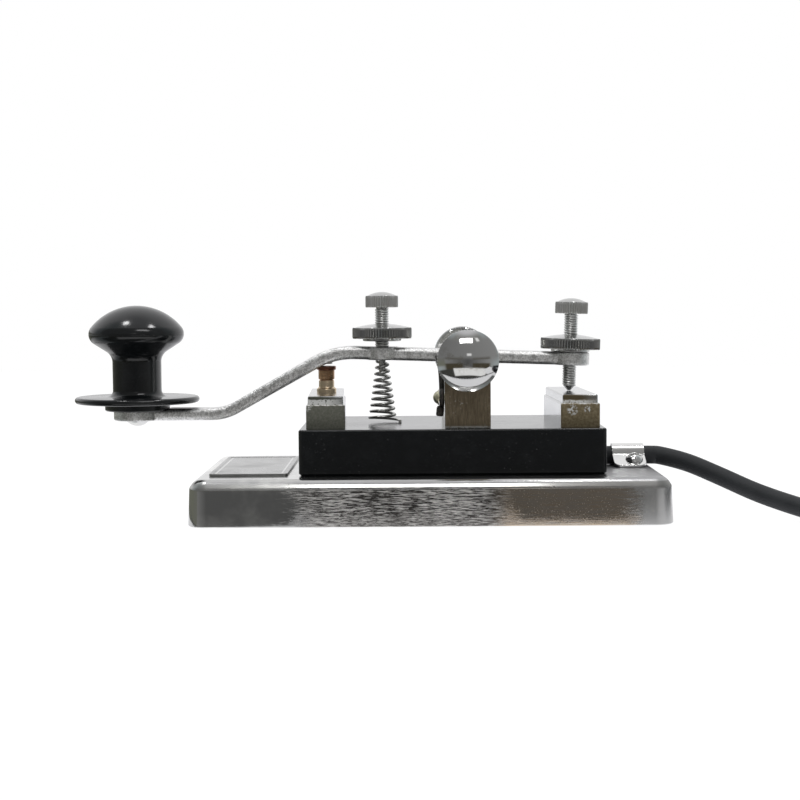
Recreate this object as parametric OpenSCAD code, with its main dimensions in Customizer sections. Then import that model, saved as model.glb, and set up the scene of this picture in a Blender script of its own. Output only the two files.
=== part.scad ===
// Straight telegraph key on a plated base, with a coiled cord and plug.
// X runs from the knob to the cord, Y away from the viewer, Z up.
// The origin is the middle of the face that the key stands on.

/* [Base] */
// Length of the base in front of the insulating block
base_front = 29.45; // [28:0.05:40]
// Length of the base behind the insulating block
base_rear = 17.05; // [16:0.05:26]
// Width of the base at its foot
base_w = 70; // [66:1:90]
// Height of the base casting
base_h = 12.5; // [11.5:0.5:18]
// Draft of the base's sides in degrees
base_draft = 2.5; // [0:0.5:5]
// Rounding of the base's top edge
base_edge_r = 2.7; // [1:0.1:3.5]
// Corner radius of the base in plan
base_corner_r = 5.5; // [5:0.5:8]
// Wall of the base casting at its sides
base_wall = 4.5; // [4:0.5:6]
// Thickness of the base casting's top
base_roof = 3.5; // [3:0.25:5]
// Thickness of the ribs inside the base
rib_t = 2.5; // [1.5:0.5:4]
// Thickness of the steel plate that closes the base
floor_t = 2; // [1.5:0.25:2.5]
// Thickness of the rubber pad that the key stands on
pad_t = 1; // [0.8:0.1:2]
// Height of the casting's rim over the table
rim_lift = 0.5; // [0.3:0.1:0.7]

/* [Name plate] */
// Space between the name plate and the base's front end
label_end_gap = 4.9; // [4.5:0.1:8]
// Space between the name plate and the insulating block
label_block_gap = 3.2; // [1:0.1:6]
// Length of the name plate across the base
label_l = 47; // [30:1:56]
// Thickness of the name plate
label_t = 0.6; // [0.4:0.1:1.5]
// Width of the name plate's raised border
label_border = 0.9; // [0.5:0.1:2]

/* [Insulating block] */
// Length of the insulating block
block_l = 83.5; // [82:0.5:88]
// Width of the insulating block
block_w = 50; // [48:1:56]
// Height of the insulating block
block_h = 12.5; // [11:0.5:18]

/* [Contact strips] */
// Length of both terminal strips across the block
strip_l = 40; // [36:1:46]
// Width of both terminal strips
strip_w = 10.7; // [9.5:0.1:12]
// Height of both terminal strips
strip_h = 6.5; // [5:0.5:9]
// Thickness of the contact plates on the strips
contact_plate_t = 2.3; // [1.5:0.1:4]
// Step from the strip's side in to the contact plate
plate_step = 0.5; // [0.2:0.1:1]
// Distance of the front strip's middle from the block's end
front_inset = 6.5; // [6:0.1:8]
// Distance of the rear strip's middle from the block's end
rear_inset = 7.3; // [6:0.1:8]
// Angle by which both strips stand off square on the block
strip_turn = 2; // [0:0.5:3]
// Height of the contact post over its plate
post_h = 7.5; // [6:0.1:8]
// Diameter of the contact post's barrel
post_d = 4.4; // [3.5:0.1:5]

/* [Yoke and bearings] */
// Distance of the pivot behind the block's middle
pivot_offset = 4.25; // [3.5:0.1:6]
// Height of the pivot over the insulating block
pivot_h = 18.5; // [17:0.25:24]
// Width of the yoke along the base
yoke_w = 12.4; // [11:0.2:15]
// Span of the yoke across the block
yoke_span = 45.6; // [42:0.2:47]
// Thickness of each yoke arm
arm_t = 6; // [5:0.5:8]
// Thickness of the yoke's foot
yoke_foot_t = 6; // [5:0.5:7.5]
// Diameter of the domed bearing caps
cap_d = 16.8; // [15:0.2:19]
// Thickness of the bearing cap's rim
cap_rim = 3.1; // [2:0.1:4]
// Rise of the bearing cap's dome
cap_dome = 3.4; // [1.5:0.1:6]
// Thread diameter of the bearing screws
bearing_d = 5; // [4:0.5:6]
// Diameter of the lever's axle
axle_d = 6; // [5:0.25:7]
// Slope of the bearing points to their axis in degrees
point_slope = 30; // [25:1:40]

/* [Lever] */
// Width of the lever bar
bar_w = 8; // [7:0.2:9]
// Thickness of the bar over the block
bar_t = 3.7; // [3:0.1:4.5]
// Thickness of the bar at the knob
bar_low_t = 3.4; // [2.8:0.1:4]
// Rounding of the bar's long edges
bar_edge_r = 1.3; // [0.4:0.1:1.6]
// Fall of the straight bar towards the rear in degrees
bar_fall = 2; // [1:0.25:3]
// Height of the bar's middle over the pivot
bar_over_pivot = 0.5; // [0:0.1:1]
// Distance of the upper bend behind the contact post
upper_bend_offset = 2.15; // [1:0.1:2.5]
// Slope of the lever's front arm in degrees
arm_slope = 29.2; // [26:0.2:33]
// Drop from the upper bend to the knob's level
arm_drop = 17.4; // [15:0.1:19]
// Bend radius of the upper bend
upper_bend_r = 22; // [12:1:28]
// Bend radius of the lower bend
lower_bend_r = 14; // [8:1:18]
// Distance of the knob in front of the base
knob_overhang = 18.2; // [15:0.1:24]
// Distance from the pivot to the spring screw
spring_reach = 23.55; // [21:0.1:26]
// Distance of the gap screw in front of the rear strip's middle
gap_offset = 0.25; // [0:0.1:1]
// Diameter of the eye under the knob
knob_eye_d = 13.5; // [10:0.5:16]
// Diameter of the eye at the spring screw
spring_eye_d = 10; // [9:0.5:12]
// Diameter of the eye at the gap screw
gap_eye_d = 11; // [9:0.5:13]
// Diameter of the hub round the axle
hub_d = 10; // [8:0.5:10.5]
// Length of the hub across the lever
hub_l = 14; // [10:0.5:20]
// Opening of the front contacts at rest
contact_gap = 0.6; // [0.3:0.05:1]

/* [Knob] */
// Diameter of the knob's head
knob_d = 26.9; // [22:0.1:30]
// Diameter of the knob's finger plate
knob_plate_d = 35.2; // [30:0.2:40]
// Thickness of the knob's finger plate
knob_plate_t = 1.8; // [1.4:0.1:3]
// Diameter of the knob's neck
knob_neck_d = 13.8; // [11:0.2:16]
// Diameter of the collar that sits on the lever
collar_d = 18.4; // [15:0.2:22]
// Height of the collar
collar_h = 2.2; // [1.5:0.1:4]
// Height of the knob over the lever's seat
knob_h = 29.9; // [27:0.1:34]
// Height of the head's widest line under the knob's top
crown_h = 8.1; // [7:0.1:9.5]
// Depth of the seat cut into the lever for the collar
seat_cut = 0.6; // [0.3:0.1:1]

/* [Screws and nuts] */
// Thread diameter of the two adjusting screws
screw_d = 4; // [3:0.25:4.5]
// Diameter of the adjusting screws' heads
head_d = 9.3; // [8:0.1:11]
// Rim height of the adjusting screws' heads
head_rim = 3.3; // [2:0.1:4]
// Rise of the dome on the adjusting screws' heads
head_dome = 1.1; // [0.8:0.1:2]
// Diameter of the lock nuts
nut_d = 16.9; // [14:0.1:18]
// Rim height of the lock nuts
nut_rim = 3.1; // [2:0.1:4]
// Rise of the dome on the lock nuts
nut_dome = 1.1; // [0.8:0.1:2.2]
// Diameter of the hub under a lock nut
nut_hub_d = 11; // [8:0.5:13]
// Height of the hub under a lock nut
nut_hub_h = 0.7; // [0.4:0.1:1.5]
// Gap under the spring screw's lock nut
spring_nut_gap = 1.65; // [0.5:0.1:3]
// Length of the spring screw under its head
spring_screw_l = 14.9; // [13:0.1:18]
// Length of the gap screw under its head
gap_screw_l = 21.8; // [21:0.1:25]
// Diameter of the small screws
small_d = 3; // [2.5:0.5:3.5]

/* [Spring] */
// Number of curls of the return spring
spring_curls = 9.5; // [8:0.5:12]
// Diameter of the spring wire
wire_d = 0.85; // [0.6:0.05:0.9]
// Diameter of the lowest curl at the middle of the wire
spring_foot_d = 7.5; // [6:0.1:9]
// Diameter of the top curl at the middle of the wire
spring_top_d = 3; // [2.9:0.1:3.1]

/* [Cord] */
// Diameter of the cord
cord_d = 5.2; // [4.5:0.1:5.6]
// Thickness of the cord clamp's strip
clamp_t = 0.7; // [0.5:0.1:1]
// Width of the cord clamp along the cord
clamp_w = 9.1; // [7:0.1:10]
// Turns of the coil in each of its two layers
coil_turns = 3; // [2:1:4]
// Diameter of the plug's contact sleeve
plug_d = 6.35; // [6.35, 3.5]
// Length of the plug's grip
grip_l = 30; // [24:1:40]
// Diameter of the plug's grip
grip_d = 11; // [9:0.5:14]

/* [Hidden] */

$fn = 64;
slab_fn = 32;
clear = 0.1;
face_gap = 0.1;
blend_r = 0.5;

// Places along the key, from the block's ends
base_l = block_l + base_front + base_rear;
block_x = (base_front - base_rear)/2;
block_front_x = block_x - block_l/2;
block_rear_x = block_x + block_l/2;
front_x = block_front_x + front_inset;
rear_x = block_rear_x - rear_inset;
pivot_x = block_x + pivot_offset;
bend_x = front_x + upper_bend_offset;
knob_x = -base_l/2 - knob_overhang;
spring_x = pivot_x - spring_reach;
gap_x = rear_x - gap_offset;
label_w = base_front - label_end_gap - label_block_gap;
label_x = block_front_x - label_block_gap - label_w/2;

// Levels, from the table up
base_top = rim_lift + base_h;
floor_z = pad_t;
roof_z = base_top - base_roof;
block_top = base_top + block_h;
strip_top = block_top + strip_h;
plate_top = strip_top + contact_plate_t;
post_top = plate_top + post_h;
pivot_z = block_top + pivot_h;
cord_z = base_top + cord_d/2 + clear;

// Lever line: heights of the bar's middle, in the plane y = 0
bar_pivot_z = pivot_z + bar_over_pivot;
function bar_z(x) = bar_pivot_z - (x - pivot_x)*tan(bar_fall);
bend_z = bar_z(bend_x);
low_z = bend_z - arm_drop;
low_bend_x = bend_x - arm_drop/tan(arm_slope);
gap_z = bar_z(gap_x);
seat_z = low_z + bar_low_t/2 - seat_cut;
eye_under_z = low_z - bar_low_t/2;
spring_eye_z = bar_z(spring_x);
spring_top_z = spring_eye_z - bar_t/2;

// Places of the hidden screws
rim_w = 2.5;
floor_l = base_l - 2*rim_w - 0.6;
floor_w = base_w - 2*rim_w - 0.6;
floor_screw_x = base_l/2 - 13;
floor_screw_y = base_w/2 - 11;
boss_d = 9;
block_screw_x = block_l/2 - 8;
block_screw_y = block_w/2 - 7;
block_screw_d = 4;
strip_screw_y = strip_l/2 - 8;
yoke_screw_y = 10;
sink_h = 5.4;

// Clamp and channel
clamp_gap = 4.15;
clamp_x = block_rear_x + clamp_gap + clamp_w/2;
clamp_in_r = cord_d/2 + clear;
clamp_tilt = 25;
clamp_rise = clamp_in_r + 0.04;
clamp_tab_l = clamp_rise/sin(clamp_tilt);
clamp_foot_y = -(clamp_in_r + 0.1 + clamp_rise/tan(clamp_tilt));
clamp_screw_x = clamp_x + 1.3;
clamp_shank = (clamp_tab_l*sin(clamp_tilt)/2 + base_roof)/cos(clamp_tilt);
channel_w = cord_d + 0.6;
channel_h = cord_d + 0.5;
lead_d = 1.6;
lead_z = base_top + lead_d/2 + 0.4;

// The cord's route, chosen by hand: out of the clamp, down over the base's edge to the table
cord_start_x = block_rear_x - 7;
cord_lie_z = cord_d/2 + 0.1;
function over_edge(x) = base_l/2 + x;
function fall(share) = cord_lie_z + (cord_z - cord_lie_z)*share;
coil_pitch = cord_d + 0.7;
coil_in_r = 23;
coil_out_r = coil_in_r + coil_turns*coil_pitch;
coil_front_y = -65;
coil_c = [over_edge(81), coil_front_y + coil_out_r];
coil_start = [coil_c[0], coil_c[1] - coil_out_r, cord_lie_z];
coil_lead = coil_start - [cord_d, 0, 0];
cord_route = [
  [cord_start_x, 0, cord_z], [over_edge(-15), 0, cord_z], [over_edge(-3.8), 0, cord_z],
  [over_edge(1.5), -0.5, fall(0.98)], [over_edge(8.5), -5, fall(0.85)],
  [over_edge(16.5), -11, fall(0.6)], [over_edge(25), -18, fall(0.32)],
  [over_edge(33.5), -27, fall(0.12)], [over_edge(40.3), -38.5, fall(0.03)],
  [over_edge(47.5), -52, cord_lie_z], [over_edge(55.5), -60.5, cord_lie_z],
  [over_edge(65), -64.4, cord_lie_z], coil_lead - [2, 0, 0], coil_lead];
coil_end_z = cord_lie_z + coil_pitch;
grip_z = grip_d/2;
grip_x = coil_c[0] + coil_out_r + 9.5;
grip_y = -34;
tail_route = [
  [coil_c[0] + cord_d, coil_start[1], coil_end_z], [coil_c[0] + 14, coil_start[1], coil_end_z],
  [grip_x - 26, -65.3, 7.4], [grip_x - 16, -64.5, 4.2], [grip_x - 8, -60, 3.1],
  [grip_x - 3, -51, 3.4], [grip_x - 0.5, -42, 4.9], [grip_x, grip_y - 1.5, grip_z],
  [grip_x, grip_y, grip_z]];

// Colours
plated = [0.74, 0.74, 0.73];
steel = [0.6, 0.6, 0.6];
black = [0.07, 0.08, 0.08];
brass = [0.6, 0.48, 0.25];
bronze = [0.36, 0.29, 0.19];
cord_black = [0.15, 0.16, 0.17];

// Points of an arc in the plane
function arc(c, r, from, to, n) =
  [for (i = [0:n]) let (a = from + (to - from)*i/n) c + r*[cos(a), sin(a)]];

function unit(v) = v/norm(v);
function square_to(v, t) = unit(v - (v*t)*t);

// Directions along a line of points
function headings(p) =
  [for (i = [0:len(p) - 1]) unit(p[min(i + 1, len(p) - 1)] - p[max(i - 1, 0)])];

// A closed skin over rings of points, each ring with the same count
module skin(rings) {
  m = len(rings);
  n = len(rings[0]);
  points = [for (ring = rings) each ring];
  first = [for (k = [1:n - 2]) [0, k, k + 1]];
  last = [for (k = [1:n - 2]) [(m - 1)*n, (m - 1)*n + k + 1, (m - 1)*n + k]];
  sides = [for (i = [0:m - 2], k = [0:n - 1]) let (j = (k + 1) % n)
    each [[i*n + k, (i + 1)*n + k, (i + 1)*n + j], [i*n + k, (i + 1)*n + j, i*n + j]]];
  polyhedron(points, concat(first, sides, last));
}

// A round tube along points; each ring is square to its heading, from its own side vector
function tube_rings(points, heads, sides, d, n) =
  [for (i = [0:len(points) - 1])
    let (t = heads[i], a = square_to(sides[i], t), b = cross(t, a))
    [for (k = [0:n - 1]) points[i] + d/2*(cos(360*k/n)*a + sin(360*k/n)*b)]];

module tube(points, d, n, side = [0, 0, 1]) {
  skin(tube_rings(points, headings(points), [for (p = points) side], d, n));
}

// Least distance between stretches of a tube that lie more than skip points apart
function least_gap(points, d, skip) =
  min([for (i = [0:len(points) - 1 - skip], j = [i + skip:1:len(points) - 1])
    norm(points[i] - points[j])]) - d;

// A slab with rounded corners and top edge, drafted sides and a small foot chamfer
module slab(l, w, h, corner_r, edge_r, draft = 0, foot = 0) {
  edge_x = corner_r - (h - edge_r)*tan(draft) - edge_r/cos(draft);
  profile = concat([[0, 0], [corner_r - foot, 0], [corner_r, foot]],
    arc([edge_x, h - edge_r], edge_r, draft, 90, 6), [[0, h]]);
  hull()
    for (sx = [-1, 1], sy = [-1, 1])
      translate([sx*(l/2 - corner_r), sy*(w/2 - corner_r), 0])
        rotate_extrude($fn = slab_fn) polygon(profile);
}

// A flat plate with round corners, made of exact faces
module round_plate(l, w, t, r) {
  linear_extrude(t) {
    square([l - 2*r, w], center = true);
    square([l, w - 2*r], center = true);
    for (sx = [-1, 1], sy = [-1, 1])
      translate([sx*(l/2 - r), sy*(w/2 - r)]) circle(r);
  }
}

// A dome of given rise on a disc of given diameter, its foot at z = 0
module dome(d, rise) {
  r = (d*d/4 + rise*rise)/(2*rise);
  intersection() {
    translate([0, 0, rise - r]) sphere(r, $fn = 96);
    cylinder(h = rise, d = d);
  }
}

// A disc with rounded edges, centred on its mid-height
module eye(d, t) {
  profile = concat([[0, -t/2]], arc([d/2 - blend_r, -t/2 + blend_r], blend_r, -90, 0, 3),
    arc([d/2 - blend_r, t/2 - blend_r], blend_r, 0, 90, 3), [[0, t/2]]);
  rotate_extrude() polygon(profile);
}

// A pan head screw that points up: the head's underside is at z = 0
function pan_head_d(d) = 1.75*d;
function pan_head_h(d) = 0.65*d;
module screw_up(d, l) {
  cylinder(h = l, d = d);
  translate([0, 0, -pan_head_h(d)]) cylinder(h = pan_head_h(d), d = pan_head_d(d));
}

module at_corners(x, y) {
  for (sx = [-1, 1], sy = [-1, 1]) translate([sx*x, sy*y, 0]) children();
}

module base_shell() {
  cavity_l = base_l - 2*base_wall;
  cavity_w = base_w - 2*base_wall;
  cavity_z = floor_z + floor_t;
  color(plated)
    difference() {
      translate([0, 0, rim_lift])
        slab(base_l, base_w, base_h, base_corner_r, base_edge_r, base_draft);
      // Seat of the floor plate
      translate([0, 0, -1])
        round_plate(base_l - 2*rim_w, base_w - 2*rim_w, cavity_z + 1, base_corner_r - rim_w);
      // Hollow with its bosses and ribs
      difference() {
        translate([0, 0, cavity_z - 1])
          round_plate(cavity_l, cavity_w, roof_z - cavity_z + 1, 2);
        translate([0, 0, cavity_z]) {
          at_corners(floor_screw_x, floor_screw_y) cylinder(h = base_h, d = boss_d);
          translate([-cavity_l/2, -rib_t/2, 0]) cube([cavity_l, rib_t, base_h]);
          for (s = [-1:1])
            translate([block_x + s*block_l/4 - rib_t/2, -cavity_w/2, 0])
              cube([rib_t, cavity_w, base_h]);
        }
      }
      at_corners(floor_screw_x, floor_screw_y)
        translate([0, 0, cavity_z - 1]) cylinder(h = roof_z - cavity_z, d = small_d + 2*clear);
      translate([block_x, 0, 0]) at_corners(block_screw_x, block_screw_y)
        translate([0, 0, roof_z - 1]) cylinder(h = base_h, d = block_screw_d + 2*clear);
      at_clamp_screw() translate([0, 0, -clamp_shank - 1])
        cylinder(h = clamp_shank + 2, d = small_d + 2*clear);
    }
}

module base_floor_plate() {
  color(steel)
    difference() {
      translate([0, 0, floor_z])
        round_plate(floor_l, floor_w, floor_t - clear/2, base_corner_r - rim_w);
      at_corners(floor_screw_x, floor_screw_y) {
        translate([0, 0, floor_z - 1]) cylinder(h = floor_t + 2, d = small_d + 2*clear);
        translate([0, 0, floor_z - 0.01])
          cylinder(h = 1.5, d1 = 2*small_d + 0.3, d2 = small_d + 0.3);
      }
    }
}

module base_floor_screws() {
  color(steel)
    at_corners(floor_screw_x, floor_screw_y) {
      translate([0, 0, floor_z + 0.05]) cylinder(h = 1.5, d1 = 2*small_d, d2 = small_d);
      translate([0, 0, floor_z + 0.05]) cylinder(h = 6, d = small_d);
    }
}

module base_pad() {
  pad_l = base_l - 2*(rim_w + 1.2);
  pad_w = base_w - 2*(rim_w + 1.2);
  color(cord_black) round_plate(pad_l, pad_w, pad_t, base_corner_r - rim_w);
}

module name_plate() {
  color(plated)
    translate([label_x, 0, base_top])
      difference() {
        round_plate(label_w, label_l, label_t, 1);
        translate([0, 0, label_t - 0.15])
          round_plate(label_w - 2*label_border, label_l - 2*label_border, 1, 0.5);
      }
}

module insulating_block() {
  color(black)
    difference() {
      translate([block_x, 0, base_top]) slab(block_l, block_w, block_h, 1.2, 0.5, 0, 0.6);
      // Channel for the cord and its two leads
      translate([front_x - 2, -channel_w/2, base_top - 1])
        cube([base_l, channel_w, channel_h + 1]);
      translate([front_x - 2, 0, base_top - 1]) cube([4, strip_screw_y, lead_d + 2.2]);
      translate([pivot_x - 2, -yoke_screw_y, base_top - 1]) cube([4, yoke_screw_y, lead_d + 2.2]);
      // Sinks and bores of the screws that come up from below
      at_strip_screws() translate([0, 0, base_top - 1]) screw_sink(small_d);
      for (s = [-1, 1])
        translate([pivot_x, s*yoke_screw_y, base_top - 1]) screw_sink(block_screw_d);
      translate([block_x, 0, 0]) at_corners(block_screw_x, block_screw_y)
        translate([0, 0, base_top - 1])
          cylinder(h = block_h - 2.5, d = block_screw_d + 2*clear);
      // Seat of the contact post's stud
      translate([front_x, 0, base_top]) cylinder(h = block_h + 1, d = small_d + 2*clear);
    }
}

module screw_sink(d) {
  cylinder(h = sink_h + 1, d = pan_head_d(d) + 0.4);
  cylinder(h = block_h + 2, d = d + 2*clear);
}

module block_screws() {
  color(steel)
    translate([block_x, 0, roof_z]) at_corners(block_screw_x, block_screw_y)
      screw_up(block_screw_d, base_roof + block_h - 4);
}

module strip_screws() {
  color(steel)
    at_strip_screws() translate([0, 0, base_top + sink_h])
      screw_up(small_d, block_h - sink_h + strip_h - 1.5);
}

module yoke_screws() {
  color(steel)
    for (s = [-1, 1])
      translate([pivot_x, s*yoke_screw_y, base_top + sink_h])
        screw_up(block_screw_d, block_h - sink_h + yoke_foot_t - 1.5);
}

// A terminal strip with the blind bores of its two screws
module at_strip_screws() {
  for (x = [front_x, rear_x], s = [-1, 1])
    translate([x, 0, 0]) rotate([0, 0, strip_turn]) translate([0, s*strip_screw_y, 0]) children();
}

module strip(x) {
  difference() {
    translate([x, 0, block_top]) rotate([0, 0, strip_turn])
      slab(strip_w, strip_l, strip_h, 0.6, 0.5);
    at_strip_screws() translate([0, 0, block_top - 1])
      cylinder(h = strip_h - 0.3, d = small_d + 2*clear);
  }
}

module contact_plate(x) {
  translate([x, 0, strip_top]) rotate([0, 0, strip_turn])
    slab(strip_w - 2*plate_step, strip_l - 2*plate_step, contact_plate_t, 0.6, 0.4);
}

module front_strip() {
  color(plated)
    difference() {
      strip(front_x);
      translate([front_x, 0, block_top - 1]) cylinder(h = strip_h + 2, d = small_d + 2*clear);
    }
}

module front_contact_plate() {
  color(plated)
    difference() {
      contact_plate(front_x);
      translate([front_x, 0, strip_top - 1])
        cylinder(h = contact_plate_t + 2, d = small_d + 2*clear);
    }
}

module rear_strip() {
  color(plated) strip(rear_x);
}

module rear_contact_plate() {
  color(plated) contact_plate(rear_x);
}

// Turned post: a flared foot, a grooved barrel and a wider contact head, on a stud
module contact_post() {
  r = post_d/2;
  foot_h = 1.2;
  neck_h = post_h*0.47;
  head_h = 1.1;
  stud = contact_plate_t + strip_h + 3;
  profile = concat(
    [[0, -stud], [small_d/2, -stud], [small_d/2, 0], [r + 0.55, 0]],
    arc([r + 0.3, foot_h - 0.35], 0.35, 0, 90, 3),
    [[r, foot_h + 0.5], [r, neck_h - 0.2], [r - 0.35, neck_h], [r, neck_h + 0.25]],
    [[r + 0.1, post_h - head_h - 0.3], [r + 0.1, post_h - head_h]],
    arc([r + 0.3, post_h - head_h + 0.25], 0.25, -90, 0, 3),
    arc([r + 0.3, post_h - 0.25], 0.25, 0, 90, 3),
    [[0, post_h]]);
  color(brass)
    translate([front_x, 0, plate_top]) rotate_extrude() polygon(profile);
}

// U-shaped yoke: its arch outline along X, crossed with its U outline along Y
module pivot_yoke() {
  arch_r = yoke_w/2;
  inner_h = pivot_h + arch_r;
  inner_w = yoke_span - 2*arm_t;
  corner_r = 2;
  color(bronze)
    difference() {
      intersection() {
        translate([pivot_x, yoke_span/2, block_top]) rotate([90, 0, 0])
          linear_extrude(yoke_span) {
            translate([-arch_r, 0]) square([yoke_w, pivot_h]);
            translate([0, pivot_h]) circle(arch_r);
          }
        translate([pivot_x - yoke_w, 0, block_top]) rotate([90, 0, 90])
          linear_extrude(2*yoke_w)
            difference() {
              translate([-yoke_span/2, 0]) square([yoke_span, inner_h + 1]);
              translate([-inner_w/2, yoke_foot_t + corner_r]) square([inner_w, inner_h]);
              translate([-inner_w/2 + corner_r, yoke_foot_t])
                square([inner_w - 2*corner_r, inner_h]);
              for (s = [-1, 1])
                translate([s*(inner_w/2 - corner_r), yoke_foot_t + corner_r]) circle(corner_r);
            }
      }
      translate([pivot_x, yoke_span, pivot_z]) rotate([90, 0, 0])
        cylinder(h = 2*yoke_span, d = bearing_d + 2*clear);
      for (s = [-1, 1])
        translate([pivot_x, s*yoke_screw_y, block_top - 1])
          cylinder(h = yoke_foot_t - 0.3, d = block_screw_d + 2*clear);
      translate([pivot_x - arch_r - 1, pigtail_y, pigtail_z]) rotate([0, 90, 0])
        cylinder(h = 6, d = pigtail_screw_d + 2*clear);
    }
}

// Bearing screw with its domed cap, its point towards the lever; drawn along -Y
axle_l = yoke_span - 2*arm_t - 1;
point_gap = 0.2;
point_h = bearing_d/2/tan(point_slope);
module bearing_screw() {
  shank = arm_t + 0.5 + face_gap - point_gap;
  translate([pivot_x, 0, pivot_z]) rotate([90, 0, 0])
    translate([0, 0, yoke_span/2 + face_gap]) {
      translate([0, 0, cap_rim]) dome(cap_d, cap_dome);
      cylinder(h = cap_rim, d = cap_d);
      translate([0, 0, -shank]) cylinder(h = shank, d = bearing_d);
      translate([0, 0, -shank - point_h]) cylinder(h = point_h, d1 = 0, d2 = bearing_d);
    }
}

module bearing_screw_front() {
  color(plated) bearing_screw();
}

module bearing_screw_back() {
  color(plated) mirror([0, 1, 0]) bearing_screw();
}

module lever_axle() {
  color(steel)
    translate([pivot_x, 0, pivot_z]) rotate([90, 0, 0])
      difference() {
        cylinder(h = axle_l, d = axle_d, center = true);
        for (s = [0, 1]) mirror([0, 0, s])
          translate([0, 0, axle_l/2 - point_h]) cylinder(h = point_h, d1 = 0, d2 = bearing_d);
      }
}

// Middle line of the lever from the knob to the gap screw, with both bends as arcs
function bend(c, r, from, to, n) =
  [for (i = [0:n]) let (a = from + (to - from)*i/n) [c[0] + r*sin(a), c[1] - r*cos(a)]];
function bend_trim(r, turn) = r*tan(turn/2);
low_turn = arm_slope;
high_turn = arm_slope + bar_fall;
low_arc_c = [low_bend_x - bend_trim(lower_bend_r, low_turn), low_z + lower_bend_r];
high_arc_c = [bend_x + bend_trim(upper_bend_r, high_turn)*cos(bar_fall) - upper_bend_r*sin(bar_fall),
  bend_z - bend_trim(upper_bend_r, high_turn)*sin(bar_fall) - upper_bend_r*cos(bar_fall)];
lever_line = concat(
  [[knob_x, low_z]],
  bend(low_arc_c, lower_bend_r, 0, low_turn, 7),
  bend(high_arc_c, -upper_bend_r, arm_slope, -bar_fall, 9),
  [[gap_x, gap_z]]);

// Section of the lever bar: a rectangle with round corners, seen along the bar
function bar_section(w, t, r) = concat(
  arc([w/2 - r, t/2 - r], r, 0, 90, 4), arc([-w/2 + r, t/2 - r], r, 90, 180, 4),
  arc([-w/2 + r, -t/2 + r], r, 180, 270, 4), arc([w/2 - r, -t/2 + r], r, 270, 360, 4));

module lever_bar() {
  line = [for (p = lever_line) [p[0], 0, p[1]]];
  heads = headings(line);
  top_z = bend_z;
  rings = [for (i = [0:len(line) - 1])
    let (up = cross(heads[i], [0, 1, 0]),
      share = min(1, max(0, (line[i][2] - low_z)/(top_z - low_z))),
      t = bar_low_t + (bar_t - bar_low_t)*share)
    [for (q = bar_section(bar_w, t, bar_edge_r)) line[i] + q[0]*[0, 1, 0] + q[1]*up]];
  skin(rings);
}

contact_z = post_top + contact_gap;
contact_t = 1;
contact_boss_d = 4.4;
contact_cut_d = post_d + 1.8;

module lever() {
  color(plated)
    difference() {
      union() {
        lever_bar();
        translate([knob_x, 0, low_z]) eye(knob_eye_d, bar_low_t);
        translate([spring_x, 0, spring_eye_z]) eye(spring_eye_d, bar_t);
        translate([gap_x, 0, gap_z]) rotate([0, bar_fall, 0]) eye(gap_eye_d, bar_t);
        translate([pivot_x, 0, pivot_z]) rotate([90, 0, 0])
          cylinder(h = hub_l, d = hub_d, center = true);
        translate([front_x, 0, contact_z + contact_t])
          cylinder(h = bar_z(front_x) - contact_z - contact_t - 1, d = contact_boss_d);
      }
      translate([knob_x, 0, seat_z]) cylinder(h = 5, d = collar_d + 0.8);
      // Flat cut over the contact post, which holds the lever's contact
      translate([front_x, 0, contact_z + contact_t - 5]) cylinder(h = 5, d = contact_cut_d);
      translate([knob_x, 0, low_z - 5]) cylinder(h = 10, d = screw_d + 2*clear);
      translate([spring_x, 0, spring_eye_z - 5]) cylinder(h = 10, d = screw_d + 2*clear);
      translate([gap_x, 0, gap_z]) rotate([0, bar_fall, 0])
        cylinder(h = 10, d = screw_d + 2*clear, center = true);
      translate([pivot_x, 0, pivot_z]) rotate([90, 0, 0])
        cylinder(h = hub_l + 2, d = axle_d + clear, center = true);
    }
}

module lever_contact() {
  color([0.85, 0.85, 0.84])
    translate([front_x, 0, contact_z]) cylinder(h = contact_t, d = contact_boss_d - 0.8);
}

// Turned knob: crown and edge arcs meet tangentially, a cone and a fillet run into the neck
module knob() {
  head_r = knob_d/2;
  neck_r = knob_neck_d/2;
  plate_r = knob_plate_d/2;
  edge_r = 3.2;
  under_slope = 33;
  fillet_r = 3.6;
  foot_r = 1.8;
  wide_z = knob_h - crown_h;
  plate_z = collar_h;
  plate_top_z = plate_z + knob_plate_t;
  offset_x = head_r - edge_r;
  crown_r = (offset_x*offset_x + crown_h*crown_h - edge_r*edge_r)/(2*(crown_h - edge_r));
  join = atan2(wide_z - (knob_h - crown_r), offset_x);
  edge_c = [offset_x, wide_z];
  // End of the edge arc, and the fillet centre that is tangent to cone and neck
  edge_end = edge_c + edge_r*[sin(under_slope), -cos(under_slope)];
  fillet_x = neck_r + fillet_r;
  slide = (edge_end[0] - fillet_x - fillet_r*-sin(under_slope))/cos(under_slope);
  fillet_z = edge_end[1] - slide*sin(under_slope) - fillet_r*cos(under_slope);
  profile = concat(
    [[0, 0], [collar_d/2 - 0.3, 0], [collar_d/2, 0.3], [collar_d/2, plate_z]],
    arc([plate_r - knob_plate_t/2, plate_z + knob_plate_t/2], knob_plate_t/2, -90, 90, 8),
    arc([neck_r + foot_r, plate_top_z + foot_r], foot_r, -90, -180, 5),
    arc([fillet_x, fillet_z], fillet_r, 180, 90 + under_slope, 6),
    arc(edge_c, edge_r, under_slope - 90, join, 10),
    arc([0, knob_h - crown_r], crown_r, join, 90, 12));
  color(black)
    difference() {
      translate([knob_x, 0, seat_z]) rotate_extrude() polygon(profile);
      translate([knob_x, 0, seat_z - 1]) cylinder(h = insert_l + 1 + clear, d = insert_d + clear);
    }
}

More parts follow.
